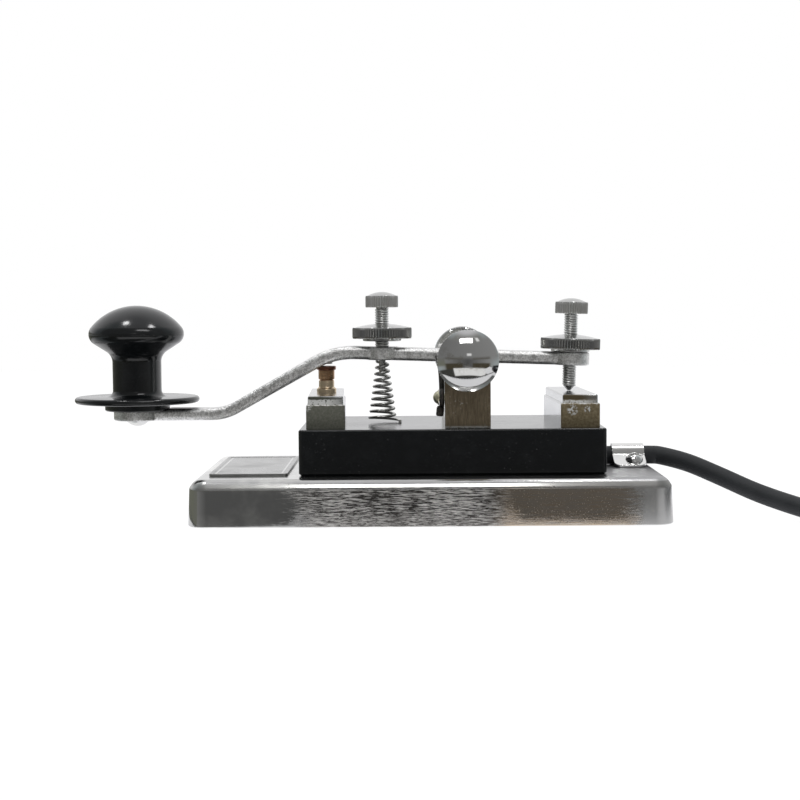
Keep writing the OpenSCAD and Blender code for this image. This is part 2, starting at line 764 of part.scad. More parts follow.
insert_d = 7;
insert_l = 14;
insert_bore_l = 11;
module knob_insert() {
  color(brass)
    translate([knob_x, 0, seat_z])
      difference() {
        cylinder(h = insert_l, d = insert_d);
        translate([0, 0, -1]) cylinder(h = insert_bore_l + 1, d = screw_d + 2*clear);
      }
}

module knob_screw() {
  knob_head_d = 6.8;
  knob_head_h = 1.7;
  color(plated)
    translate([knob_x, 0, eye_under_z]) {
      cylinder(h = seat_z - eye_under_z + insert_bore_l - 1, d = screw_d);
      mirror([0, 0, 1]) dome(knob_head_d, knob_head_h);
    }
}

// Adjusting screw: domed head over a plain shank, the head's underside at z = 0
module adjusting_screw(l) {
  translate([0, 0, head_rim]) dome(head_d, head_dome);
  cylinder(h = head_rim, d = head_d);
  translate([0, 0, -l]) cylinder(h = l, d = screw_d);
}

spigot_d = spring_top_d - wire_d - 0.25;
spigot_l = 4.5;
module spring_screw() {
  color(plated)
    translate([spring_x, 0, spring_top_z + spring_screw_l]) {
      adjusting_screw(spring_screw_l);
      translate([0, 0, -spring_screw_l - spigot_l]) cylinder(h = spigot_l + 1, d = spigot_d);
    }
}

gap_tip_h = 1.2;
tip_gap = 0.1;
// Along the tilted screw from the lever's middle down to the rear plate
gap_tip_z = -(gap_z - plate_top - tip_gap)/cos(bar_fall);
module at_gap_screw() {
  translate([gap_x, 0, gap_z]) rotate([0, bar_fall, 0]) children();
}

module gap_screw() {
  shank = gap_screw_l - gap_tip_h;
  color(plated)
    at_gap_screw()
      translate([0, 0, gap_tip_z + gap_screw_l]) {
        adjusting_screw(shank);
        translate([0, 0, -gap_screw_l]) cylinder(h = gap_tip_h, d1 = 1, d2 = screw_d);
      }
}

// Lock nut with its hub's face at z = 0
module lock_nut() {
  difference() {
    union() {
      cylinder(h = nut_hub_h, d = nut_hub_d);
      translate([0, 0, nut_hub_h]) cylinder(h = nut_rim, d = nut_d);
      translate([0, 0, nut_hub_h + nut_rim]) dome(nut_d, nut_dome);
    }
    translate([0, 0, -1]) cylinder(h = 10, d = screw_d + 2*clear);
  }
}

module spring_lock_nut() {
  color(plated)
    translate([spring_x, 0, spring_eye_z + bar_t/2 + spring_nut_gap]) lock_nut();
}

module gap_lock_nut() {
  color(plated)
    at_gap_screw() translate([0, 0, bar_t/2 + face_gap]) lock_nut();
}

// Conical spring: its ends stand straight for a short way, and its tail spreads at the foot
spring_rings = 8;
spring_end = 0.6*wire_d;
spring_h = spring_top_z - block_top - 2*spring_end;
spring_start = 350;
foot_flare = 1.3;
function spring_r(u) =
  (spring_foot_d + (spring_top_d - spring_foot_d)*u)/2
  + foot_flare*pow(max(0, 1 - u*spring_curls), 3);
function spring_point(u) =
  let (a = 360*spring_curls*u + spring_start)
  [spring_x + spring_r(u)*cos(a), spring_r(u)*sin(a), block_top + spring_end + spring_h*u];
spring_curl = [for (i = [0:spring_curls*spring_rings]) spring_point(i/(spring_curls*spring_rings))];
spring_line = concat(
  [[spring_curl[0][0], spring_curl[0][1], block_top]], spring_curl,
  [[spring_curl[len(spring_curl) - 1][0], spring_curl[len(spring_curl) - 1][1], spring_top_z]]);

module return_spring() {
  count = len(spring_line);
  up = [0, 0, 1];
  heads = [for (i = [0:count - 1]) i == 0 || i == count - 1 ? up : headings(spring_line)[i]];
  outward = [for (p = spring_line) [p[0] - spring_x, p[1], 0]];
  color(steel) skin(tube_rings(spring_line, heads, outward, wire_d, 6));
}
echo(spring_least_gap = least_gap(spring_curl, wire_d, 6));

// Flexible wire from the lever's side down to the screw on the yoke's front arm,
// with an eye round the screw and a crimped end under it
pigtail_d = 1.4;
pigtail_screw_d = 2;
pigtail_head_d = 3.6;
pigtail_head_h = 1.3;
pigtail_y = -(yoke_span/2 - arm_t/2);
pigtail_z = pivot_z - 10.2;
yoke_left_x = pivot_x - yoke_w/2;
module pigtail() {
  lie_x = yoke_left_x - pigtail_d/2 - clear;
  side_y = pigtail_y + pigtail_screw_d/2 + pigtail_d/2 + 0.1;
  route = [[lie_x - 0.6, side_y - 0.8, pigtail_z - 4.2],
    [lie_x, side_y - 0.2, pigtail_z - 2.3], [lie_x, side_y, pigtail_z], [lie_x, side_y + 0.4, pigtail_z + 3],
    [lie_x - 0.2, side_y + 2, pigtail_z + 7], [lie_x - 0.6, side_y + 5, pigtail_z + 9.6],
    [lie_x - 0.8, side_y + 9, pigtail_z + 10.6], [lie_x - 0.8, -bar_w/2 - 0.2, pigtail_z + 10.6]];
  color(bronze) {
    tube(route, pigtail_d, 8, [1, 0, 0.2]);
    translate(route[0] + [0, 0, -1]) rotate([0, 6, 0]) cylinder(h = 2.8, d = 2.2);
    translate([lie_x - 0.6, pigtail_y, pigtail_z]) rotate([0, 90, 0])
      difference() {
        cylinder(h = 1.2, d = pigtail_screw_d + 3);
        translate([0, 0, -1]) cylinder(h = 4, d = pigtail_screw_d + 2*clear);
      }
  }
}

module pigtail_screw() {
  color([0.75, 0.7, 0.55])
    translate([yoke_left_x - pigtail_d - 2*clear, pigtail_y, pigtail_z]) rotate([0, 90, 0]) {
      cylinder(h = pigtail_d + 4, d = pigtail_screw_d);
      mirror([0, 0, 1]) {
        cylinder(h = 0.3, d = pigtail_head_d + 0.6);
        translate([0, 0, 0.3]) dome(pigtail_head_d, pigtail_head_h);
      }
    }
}

// Middle of the clamp's leaning tab, where its screw goes through
module at_clamp_screw() {
  translate([0, clamp_foot_y, base_top]) rotate([clamp_tilt, 0, 0])
    translate([clamp_screw_x, clamp_tab_l/2, 0]) children();
}

// Strip bent over the cord, with a tab that leans down to the front for its screw
module cord_clamp() {
  in_r = clamp_in_r;
  out_r = in_r + clamp_t;
  color(plated)
    difference() {
      union() {
        translate([clamp_x - clamp_w/2, 0, base_top]) rotate([90, 0, 90])
          linear_extrude(clamp_w)
            difference() {
              union() {
                translate([0, in_r]) circle(out_r);
                square([out_r, in_r]);
              }
              translate([0, in_r]) circle(in_r);
              translate([-in_r, -1]) square([2*in_r, in_r + 1]);
              translate([-2*out_r, -1]) square([2*out_r, in_r + 1]);
              translate([-2*out_r, -2*out_r]) square([4*out_r, 2*out_r]);
            }
        translate([clamp_x, clamp_foot_y, base_top]) rotate([clamp_tilt, 0, 0])
          intersection() {
            translate([0, clamp_tab_l, 0]) round_plate(clamp_w, 2*clamp_tab_l, clamp_t, 2.2);
            translate([-clamp_w, -1, -1]) cube([2*clamp_w, clamp_tab_l + 1, clamp_t + 2]);
          }
      }
      at_clamp_screw() translate([0, 0, -1]) cylinder(h = clamp_t + 2, d = small_d + 2*clear);
    }
}

module clamp_screw() {
  pan_d = 5;
  pan_h = 1.8;
  color(plated)
    at_clamp_screw() translate([0, 0, clamp_t])
      difference() {
        union() {
          dome(pan_d, pan_h);
          translate([0, 0, -clamp_t - clamp_shank])
            cylinder(h = clamp_t + clamp_shank, d = small_d);
        }
        translate([-pan_d, -0.4, pan_h - 0.9]) cube([2*pan_d, 0.8, 2]);
      }
}

// The cord's two cores inside the block, to a strip screw and a yoke screw
module cord_leads() {
  core_y = 1.1;
  color([0.45, 0.1, 0.08]) {
    tube([[cord_start_x, core_y, lead_z], [front_x + 3, core_y, lead_z],
      [front_x + 0.6, core_y + 2, lead_z], [front_x, core_y + 5, lead_z],
      [front_x, strip_screw_y, lead_z]], lead_d, 8);
    tube([[cord_start_x, -core_y, lead_z], [pivot_x + 3, -core_y, lead_z],
      [pivot_x + 0.6, -core_y - 2, lead_z], [pivot_x, -core_y - 5, lead_z],
      [pivot_x, -yoke_screw_y, lead_z]], lead_d, 8);
  }
}

module cord_run() {
  color(cord_black) tube(cord_route, cord_d, 10);
}

module cord_tail() {
  color(cord_black) tube(tail_route, cord_d, 10);
}

// Coil: the lower layer spirals in, climbs in half a turn and spirals out again above
coil_rings = 24;
function coil_r(t) = coil_in_r + coil_pitch*abs(coil_turns - t);
function climb(t) = let (u = min(1, max(0, (t - coil_turns + 0.25)/0.5))) u*u*(3 - 2*u);
function coil_point(t) = [
  coil_c[0] + coil_r(t)*sin(360*t), coil_c[1] - coil_r(t)*cos(360*t),
  cord_lie_z + coil_pitch*climb(t)];
coil_wind = [for (i = [0:2*coil_turns*coil_rings]) coil_point(i/coil_rings)];
coil_line = concat([coil_lead], coil_wind, [tail_route[0]]);
module cord_coil() {
  color(cord_black) tube(coil_line, cord_d, 6);
}
echo(coil_least_gap = least_gap(coil_wind, cord_d, 12));

// The plug points along Y; its axis lies one grip radius over the table
sleeve_l = 22;
insulator_l = 1.2;
tip_l = 7.5;
module along_plug(y) {
  translate([grip_x, grip_y + y, grip_z]) rotate([-90, 0, 0]) children();
}

module plug_grip() {
  r = grip_d/2;
  color(black)
    along_plug(0)
      rotate_extrude()
        polygon(concat([[0, 0], [cord_d/2 + 0.8, 0], [cord_d/2 + 1.2, 8], [r - 1, 11]],
          arc([r - 1, 12], 1, -90, 0, 3), arc([r - 1, grip_l - 1], 1, 0, 90, 3), [[0, grip_l]]));
}

module plug_sleeve() {
  color(plated) {
    along_plug(grip_l) cylinder(h = sleeve_l, d = plug_d);
  }
}

module plug_insulator() {
  color(black) along_plug(grip_l + sleeve_l) cylinder(h = insulator_l, d = plug_d);
}

module plug_tip() {
  r = plug_d/2;
  color(plated)
    along_plug(grip_l + sleeve_l + insulator_l)
      rotate_extrude()
        polygon([[0, 0], [r - 0.3, 0], [r - 1, 0.32*tip_l], [r - 0.1, 0.53*tip_l],
          [r - 0.3, 0.64*tip_l], [0.55*r, 0.88*tip_l], [0.2*r, 0.99*tip_l], [0, tip_l]]);
}

base_shell();
base_floor_plate();
base_floor_screws();
base_pad();
name_plate();
insulating_block();
block_screws();
front_strip();
front_contact_plate();
contact_post();
strip_screws();
rear_strip();
rear_contact_plate();
pivot_yoke();
yoke_screws();
bearing_screw_front();
bearing_screw_back();
lever();
lever_axle();
lever_contact();
knob();
knob_insert();
knob_screw();
spring_screw();
spring_lock_nut();
return_spring();
gap_screw();
gap_lock_nut();
pigtail();
pigtail_screw();
cord_clamp();
clamp_screw();
cord_leads();
cord_run();
cord_coil();
cord_tail();
plug_grip();
plug_sleeve();
plug_insulator();
plug_tip();
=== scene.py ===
import math

import bmesh
import bpy
from mathutils import Matrix, Vector


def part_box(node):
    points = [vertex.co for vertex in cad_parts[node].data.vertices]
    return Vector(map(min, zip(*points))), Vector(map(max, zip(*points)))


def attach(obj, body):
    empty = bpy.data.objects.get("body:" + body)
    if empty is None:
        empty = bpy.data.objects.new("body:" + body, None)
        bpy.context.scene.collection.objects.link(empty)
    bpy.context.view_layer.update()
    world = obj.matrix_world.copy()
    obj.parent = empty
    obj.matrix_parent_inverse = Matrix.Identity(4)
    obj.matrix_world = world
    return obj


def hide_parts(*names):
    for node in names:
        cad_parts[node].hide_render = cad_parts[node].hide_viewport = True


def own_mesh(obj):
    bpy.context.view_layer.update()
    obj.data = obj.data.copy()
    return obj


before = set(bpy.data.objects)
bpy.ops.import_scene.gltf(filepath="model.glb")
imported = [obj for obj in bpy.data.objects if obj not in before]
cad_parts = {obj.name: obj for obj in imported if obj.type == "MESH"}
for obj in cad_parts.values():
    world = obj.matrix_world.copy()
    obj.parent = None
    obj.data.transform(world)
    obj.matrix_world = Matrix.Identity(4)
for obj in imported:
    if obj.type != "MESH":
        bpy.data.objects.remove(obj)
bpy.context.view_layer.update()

# Straight hand key on a plated base, dressed around its CAD solids.
# X runs from the knob to the cord, Y away from the viewer, Z up, all in metres.
mm = 0.001
scene = bpy.context.scene


# Small tools for node trees. A Wire is an output socket on which arithmetic adds Math nodes.
class Wire:
    def __init__(self, tree, socket):
        self.tree = tree
        self.socket = socket

    def math(self, operation, *others):
        return self.tree.add("ShaderNodeMath", {"operation": operation}, [self, *others])

    def __add__(self, other):
        return self.math("ADD", other)

    def __sub__(self, other):
        return self.math("SUBTRACT", other)

    def __rsub__(self, other):
        return self.tree.add("ShaderNodeMath", {"operation": "SUBTRACT"}, [other, self])

    def __mul__(self, other):
        return self.math("MULTIPLY", other)

    def __truediv__(self, other):
        return self.math("DIVIDE", other)

    def __pow__(self, other):
        return self.math("POWER", other)

    __radd__ = __add__
    __rmul__ = __mul__

    # 0 below low, 1 above high, smooth between
    def step(self, low, high):
        return self.tree.add("ShaderNodeMapRange", {"interpolation_type": "SMOOTHSTEP"},
                             {"Value": self, "From Min": low, "From Max": high})

    # 1 inside the band around middle, falling to 0 over soft
    def band(self, middle, half, soft):
        away = (self - middle).math("ABSOLUTE")
        return 1 - away.step(half - soft, half + soft)


class Tree:
    def __init__(self, tree):
        self.tree = tree

    # A node of a type, with its settings, then its sockets' values or links
    def add(self, kind, settings=None, sockets=None, out=0):
        node = self.tree.nodes.new(kind)
        for name, value in (settings or {}).items():
            if name == "stops":
                self.fillRamp(node.color_ramp, value)
            else:
                setattr(node, name, value)
        given = sockets.items() if isinstance(sockets, dict) else enumerate(sockets or [])
        for key, value in given:
            if isinstance(value, Wire):
                self.tree.links.new(value.socket, node.inputs[key])
            elif value is not None:
                node.inputs[key].default_value = value
        return Wire(self, node.outputs[out])

    def fillRamp(self, ramp, stops):
        while len(ramp.elements) > 1:
            ramp.elements.remove(ramp.elements[-1])
        for i, (place, colour) in enumerate(stops):
            element = ramp.elements[0] if i == 0 else ramp.elements.new(place)
            element.position = place
            element.color = rgba(colour)

    def mix(self, factor, first, second):
        node = self.tree.nodes.new("ShaderNodeMix")
        node.data_type = "RGBA"
        for index, value in ((0, factor), (6, first), (7, second)):
            if isinstance(value, Wire):
                self.tree.links.new(value.socket, node.inputs[index])
            else:
                node.inputs[index].default_value = value if index == 0 else rgba(value)
        return Wire(self, node.outputs[2])

    # Object coordinates, moved to centre and stretched by scale
    def place(self, centre=(0, 0, 0), scale=(1, 1, 1), turn=(0, 0, 0)):
        coords = self.add("ShaderNodeTexCoord", out=3)
        return self.add("ShaderNodeMapping", {"vector_type": "TEXTURE"},
                        {"Vector": coords, "Location": centre, "Rotation": turn,
                         "Scale": tuple(1 / s for s in scale)})

    def split(self, vector):
        node = self.tree.nodes.new("ShaderNodeSeparateXYZ")
        self.tree.links.new(vector.socket, node.inputs[0])
        return [Wire(self, output) for output in node.outputs]

    # X, Y and Z of the object coordinates
    def position(self):
        return self.split(self.add("ShaderNodeTexCoord", out=3))

    def noise(self, vector, scale, detail=3.0, rough=0.55, distort=0.0):
        return self.add("ShaderNodeTexNoise", None,
                        {"Vector": vector, "Scale": scale, "Detail": detail,
                         "Roughness": rough, "Distortion": distort})

    def bump(self, height, strength, distance):
        return self.add("ShaderNodeBump", None,
                        {"Height": height, "Strength": strength, "Distance": distance})


def rgba(colour):
    if isinstance(colour, (int, float)):
        colour = (colour, colour, colour)
    return (*colour[:3], 1.0)


# A material: paint gets its tree and returns what varies, fixed holds what doesn't
def makeMaterial(name, fixed, paint=None):
    material = bpy.data.materials.new(name)
    material.use_nodes = True
    nodes = material.node_tree.nodes
    shader = nodes["Principled BSDF"]
    for socket, value in fixed.items():
        shader.inputs[socket].default_value = value
    varying = paint(Tree(material.node_tree)) if paint else {}
    for socket, wire in varying.items():
        material.node_tree.links.new(wire.socket, shader.inputs[socket])
    return material


# Camera: the photograph's own place and lens, 800 by 800
cameraFacts = {"lens": 70.17, "sensor": 36.0, "place": (-4.873, -444.78, 60.698),
               "pitch": 3.705, "yaw": -0.418, "roll": -0.448}


def makeCamera(facts):
    data = bpy.data.cameras.new("camera")
    data.lens = facts["lens"]
    data.sensor_width = facts["sensor"]
    data.clip_start, data.clip_end = 0.01, 20
    camera = bpy.data.objects.new("camera", data)
    scene.collection.objects.link(camera)
    pitch, yaw, roll = (math.radians(facts[k]) for k in ("pitch", "yaw", "roll"))
    ahead = Vector((math.sin(yaw) * math.cos(pitch), math.cos(yaw) * math.cos(pitch),
                    -math.sin(pitch)))
    right = Vector((math.cos(yaw), -math.sin(yaw), 0))
    up = right.cross(ahead)
    turnedRight = math.cos(roll) * right + math.sin(roll) * up
    turnedUp = -math.sin(roll) * right + math.cos(roll) * up
    turn = Matrix((turnedRight, turnedUp, -ahead)).transposed().to_4x4()
    camera.matrix_world = Matrix.Translation(Vector(facts["place"]) * mm) @ turn
    scene.camera = camera


makeCamera(cameraFacts)
print("camera set")


# Mesh tools
def newPiece(name, body, points, faces, material, sharp=35):
    mesh = bpy.data.meshes.new(name)
    mesh.from_pydata([tuple(p) for p in points], [], faces)
    mesh.validate()
    finishMesh(mesh, material, sharp)
    return placePiece(name, body, mesh)


def finishMesh(mesh, material, sharp=35):
    mesh.materials.clear()
    mesh.materials.append(material)
    mesh.shade_smooth()
    mesh.set_sharp_from_angle(angle=math.radians(sharp))


def placePiece(name, body, mesh):
    piece = bpy.data.objects.new(name, mesh)
    scene.collection.objects.link(piece)
    if body:
        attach(piece, body)
    return piece


# Evens out the shading where wide flat faces meet narrow rounded ones
def evenShade(piece):
    shade = piece.modifiers.new("even shade", "WEIGHTED_NORMAL")
    shade.keep_sharp = True
    shade.weight = 80
    return piece


# The plain mesh of an object with its modifiers applied; the object goes
def settled(piece):
    bpy.context.view_layer.update()
    graph = bpy.context.evaluated_depsgraph_get()
    mesh = bpy.data.meshes.new_from_object(piece.evaluated_get(graph))
    mesh.name = piece.name
    bpy.data.objects.remove(piece)
    return mesh


def arc(centre, radius, start, end, count):
    angles = [math.radians(start + (end - start) * i / count) for i in range(count + 1)]
    return [(centre[0] + radius * math.cos(a), centre[1] + radius * math.sin(a)) for a in angles]


# Stands the turning axis, drawn along Z, at a point and along a direction; sizes in mm
def axisAt(point, along=(0, 0, 1)):
    turn = Vector((0, 0, 1)).rotation_difference(Vector(along)).to_matrix().to_4x4()
    return Matrix.Translation(Vector(point) * mm) @ turn @ Matrix.Scale(mm, 4)


# A turned solid: profile is (radius, height) in mm, from axis to axis
def turned(name, body, profile, matrix, material, count=96, sharp=35):
    points, faces, rings = [], [], []
    for radius, height in profile:
        if radius < 1e-6:
            rings.append([len(points)])
            points.append(matrix @ Vector((0, 0, height)))
            continue
        rings.append(list(range(len(points), len(points) + count)))
        for i in range(count):
            a = 2 * math.pi * i / count
            points.append(matrix @ Vector((radius * math.cos(a), radius * math.sin(a), height)))
    for low, high in zip(rings, rings[1:]):
        for i in range(count):
            j = (i + 1) % count
            if len(low) == 1 and len(high) == 1:
                continue
            if len(low) == 1:
                faces.append((low[0], high[j], high[i]))
            elif len(high) == 1:
                faces.append((low[i], low[j], high[0]))
            else:
                faces.append((low[i], low[j], high[j], high[i]))
    return newPiece(name, body, points, faces, material, sharp)


# Smooth points through a few chosen ones
def smoothRoute(points, steps):
    points = [Vector(p) for p in points]
    padded = [2 * points[0] - points[1], *points, 2 * points[-1] - points[-2]]
    route = []
    for a, b, c, d in zip(padded, padded[1:], padded[2:], padded[3:]):
        for i in range(steps):
            t = i / steps
            route.append(0.5 * (2 * b + (c - a) * t + (2 * a - 5 * b + 4 * c - d) * t * t
                                + (3 * b - a - 3 * c + d) * t ** 3))
    return [*route, points[-1]]


# A round tube along points in mm, with closed ends and its length and girth as UVs
def tube(name, body, route, radius, material, sides=16, upright=False):
    points, faces, along, travelled = [], [], [], 0.0
    last = len(route) - 1
    side = None
    for i, point in enumerate(route):
        ahead = (route[min(i + 1, last)] - route[max(i - 1, 0)]).normalized()
        if upright and i in (0, last):
            ahead = Vector((0, 0, 1))
        if side is None:
            side = Vector((0, 0, 1)) if abs(ahead.z) < 0.9 else Vector((1, 0, 0))
        side = (side - ahead * side.dot(ahead)).normalized()
        across = ahead.cross(side)
        if i:
            travelled += (point - route[i - 1]).length
        along.append(travelled)
        for k in range(sides):
            a = 2 * math.pi * k / sides
            points.append((point + radius * (side * math.cos(a) + across * math.sin(a))) * mm)
    for i in range(last):
        for k in range(sides):
            j = (k + 1) % sides
            faces.append((i * sides + k, i * sides + j, (i + 1) * sides + j, (i + 1) * sides + k))
    faces.append(tuple(reversed(range(sides))))
    faces.append(tuple(last * sides + k for k in range(sides)))
    piece = newPiece(name, body, points, faces, material, 50)
    mesh = piece.data
    layer = mesh.uv_layers.new(name="lengthAndGirth")
    for face in mesh.polygons[:last * sides]:
        k = face.index % sides
        for loop in face.loop_indices:
            vertex = mesh.loops[loop].vertex_index
            ring, spoke = divmod(vertex, sides)
            turn = 1.0 if spoke == 0 and k == sides - 1 else spoke / sides
            layer.data[loop].uv = (along[ring] * mm, turn)
    return piece


# A cleaned copy of a CAD node's mesh, bevelled where a bevel in mm is given
def dressedCopy(name, node, material, slot, bevel=0.0):
    work = bmesh.new()
    work.from_mesh(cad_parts[node].data)
    bmesh.ops.remove_doubles(work, verts=work.verts, dist=1e-6)
    bmesh.ops.dissolve_limit(work, angle_limit=math.radians(0.3), verts=work.verts,
                             edges=work.edges)
    mesh = bpy.data.meshes.new(name)
    work.to_mesh(mesh)
    work.free()
    finishMesh(mesh, material)
    piece = placePiece(name, "base", mesh)
    if bevel:
        edge = piece.modifiers.new("worn edge", "BEVEL")
        edge.width = bevel * mm
        edge.segments = 3
        edge.angle_limit = math.radians(40)
        edge.harden_normals = True
    else:
        evenShade(piece)
    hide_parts(node)


# Materials that several pieces share
def paintPlating(grain, tone=0.66, dark=0.5, pitScale=900, sheen=0.12):
    def paint(tree):
        where = tree.place()
        cloud = tree.noise(where, 90, 4)
        fine = tree.noise(where, pitScale, 3)
        scratch = tree.noise(tree.place(scale=(1, 1, 9)), 420, 2, 0.6, 0.6)
        dirt = cloud.step(0.52, 0.7) * fine.step(0.45, 0.65)
        colour = tree.mix(dirt, (tone, tone, tone * 0.985), (dark, dark * 0.98, dark * 0.92))
        rough = sheen + cloud * 0.08 + dirt * 0.16 + scratch.step(0.6, 0.75) * 0.1
        height = fine * grain + scratch * (grain * 0.6)
        return {"Base Color": colour, "Roughness": rough,
                "Normal": tree.bump(height, 0.35, 0.0001)}
    return paint


def paintCordJacket(tree):
    uv = tree.add("ShaderNodeUVMap", {"uv_map": "lengthAndGirth"})
    where = tree.place()
    cloud = tree.noise(where, 55, 3)
    fine = tree.noise(where, 1500, 2)
    lengthways = tree.add("ShaderNodeMapping", {"vector_type": "POINT"},
                          {"Vector": uv, "Scale": (60, 24, 1)})
    drawn = tree.noise(lengthways, 3, 2)
    tone = tree.mix(cloud.step(0.35, 0.7), (0.02, 0.022, 0.025), (0.032, 0.035, 0.038))
    rough = 0.46 + drawn * 0.18 + fine * 0.08
    return {"Base Color": tone, "Roughness": rough,
            "Normal": tree.bump(fine * 0.6 + drawn, 0.22, 0.00012)}


cordJacket = makeMaterial("cordJacket", {"Specular IOR Level": 0.4}, paintCordJacket)

# The cord: out of its clamp, over the base's edge, to a coil just outside the picture
cordFacts = {"diameter": 5.2, "height": 15.7, "start": 40.95, "exit": 61.2, "edge": 65.0,
             "lie": 2.7, "turns": 3, "innerRadius": 23.0, "spare": 0.7, "coilX": 146.0,
             "coilFront": -65.0, "ringsPerTurn": 72}


def cordRoutes(facts):
    def fall(share):
        return facts["lie"] + (facts["height"] - facts["lie"]) * share

    pitch = facts["diameter"] + facts["spare"]
    outer = facts["innerRadius"] + facts["turns"] * pitch
    centre = Vector((facts["coilX"], facts["coilFront"] + outer, 0))
    lead = Vector((centre.x - facts["diameter"], facts["coilFront"], facts["lie"]))
    chosen = [(-3.8, 0, 1), (-1.5, 0, 1), (1.5, -0.5, 0.98), (8.5, -5, 0.85), (16.5, -11, 0.6),
              (25, -18, 0.32), (33.5, -27, 0.12), (40.3, -38.5, 0.03), (47.5, -52, 0),
              (55.5, -60.5, 0), (65, -64.4, 0)]
    run = [(facts["edge"] + x, y, fall(share)) for x, y, share in chosen]
    run = smoothRoute([*run, tuple(lead - Vector((2, 0, 0))), tuple(lead)], 6)

    coil = []
    for i in range(1, 2 * facts["turns"] * facts["ringsPerTurn"] + 1):
        t = i / facts["ringsPerTurn"]
        radius = facts["innerRadius"] + pitch * abs(facts["turns"] - t)
        u = min(1, max(0, (t - facts["turns"] + 0.25) / 0.5))
        a = 2 * math.pi * t
        coil.append(centre + Vector((radius * math.sin(a), -radius * math.cos(a),
                                     facts["lie"] + pitch * u * u * (3 - 2 * u))))
    begin = centre + Vector((0, -outer, facts["lie"]))
    top = facts["lie"] + pitch
    gripX = centre.x + outer + 9.5
    tail = smoothRoute([(centre.x + facts["diameter"], facts["coilFront"], top),
                        (centre.x + 14, facts["coilFront"], top), (gripX - 26, -65.3, 7.4),
                        (gripX - 16, -64.5, 4.2), (gripX - 8, -60, 3.1), (gripX - 3, -51, 3.4),
                        (gripX - 0.5, -42, 4.9), (gripX, -35.5, 5.5), (gripX, -34, 5.5)], 6)
    return [*run, begin, *coil, *tail], Vector((gripX, -34, 5.5))


def makeCord(facts):
    route, plugPoint = cordRoutes(facts)
    cord = tube("cord", "base", route, facts["diameter"] / 2, cordJacket, 16)
    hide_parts("cord_run", "cord_coil", "cord_tail")
    inside = [Vector((x, 0, facts["height"])) for x in (facts["start"], 50, facts["exit"])]
    inlet = tube("cordInlet", "base", inside, facts["diameter"] / 2, cordJacket, 16)
    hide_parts("cord_run")
    length = sum((b - a).length for a, b in zip(route, route[1:])) * mm
    return cord, route, plugPoint, length


cord, cordRoute, plugPoint, cordLength = makeCord(cordFacts)
print("cord laid, metres:", round(cordLength, 3))

# Plug: grip, sleeve, insulating ring and tip on one axis along Y
plugFacts = {"gripLength": 30, "gripRadius": 5.5, "cordRadius": 2.6, "sleeveLength": 22,
             "sleeveRadius": 3.175, "ringLength": 1.2, "tipLength": 7.5}


def paintMoulding(tree):
    where = tree.place()
    cloud = tree.noise(where, 60, 3)
    fine = tree.noise(where, 1400, 3)
    colour = tree.mix(cloud.step(0.4, 0.7), (0.012, 0.013, 0.014), (0.02, 0.021, 0.022))
    return {"Base Color": colour, "Roughness": 0.3 + cloud * 0.15 + fine * 0.06,
            "Normal": tree.bump(fine, 0.15, 0.0001)}


moulding = makeMaterial("plugMoulding", {}, paintMoulding)
brightPlating = makeMaterial("brightPlating", {"Metallic": 1.0}, paintPlating(0.12, 0.78, 0.58))


def makePlug(facts):
    r, n = facts["gripRadius"], facts["gripLength"]
    c, s = facts["cordRadius"], facts["sleeveRadius"]
    axis = axisAt(plugPoint, (0, 1, 0))
    collar = [(0, 0), (c + 0.6, 0), (c + 0.8, 0.2)]
    for i in range(4):
        z = 1.2 + 1.8 * i
        collar += [(c + 0.85 + 0.08 * i, z), (c + 0.45 + 0.08 * i, z + 0.3),
                   (c + 0.45 + 0.08 * i, z + 0.9), (c + 0.9 + 0.08 * i, z + 1.2)]
    profile = collar + [(c + 1.2, 8.2), (r - 1, 11)] + arc((r - 1, 12), 1, -90, 0, 5)
    for i in range(9):
        z = 13.6 + 1.5 * i
        profile += [(r, z), (r - 0.25, z + 0.25), (r - 0.25, z + 0.6), (r, z + 0.85)]
    profile += arc((r - 1, n - 1), 1, 0, 90, 5) + [(0, n)]
    grip = turned("plugGrip", "base", profile, axis, moulding, 64)
    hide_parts("plug_grip")
    z = n + facts["sleeveLength"]
    sleeve = turned("plugSleeve", "base", [(0, n), (s - 0.15, n), (s, n + 0.15), (s, z), (0, z)],
                    axis, brightPlating, 64)
    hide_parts("plug_sleeve")
    ring = turned("plugInsulator", "base",
                  [(0, z), (s, z), (s, z + facts["ringLength"]), (0, z + facts["ringLength"])],
                  axis, moulding, 64)
    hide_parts("plug_insulator")
    z += facts["ringLength"]
    t = facts["tipLength"]
    tip = turned("plugTip", "base",
                 [(0, z), (s - 0.3, z), (s - 0.45, z + 0.1 * t), (s - 0.95, z + 0.26 * t),
                  (s - 1, z + 0.33 * t), (s - 0.5, z + 0.43 * t), (s - 0.12, z + 0.52 * t),
                  (s - 0.1, z + 0.56 * t), (s - 0.3, z + 0.64 * t), (0.8 * s, z + 0.7 * t),
                  (0.55 * s, z + 0.87 * t), (0.35 * s, z + 0.96 * t), (0.15 * s, z + 0.995 * t),
                  (0, z + t)], axis, brightPlating, 64, 60)
    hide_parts("plug_tip")
    return [grip, sleeve, ring, tip]


plugPieces = makePlug(plugFacts)
tuple(cordRoute[0] * mm)
[tuple(p * mm) for p in cordRoute]
print("plug made")

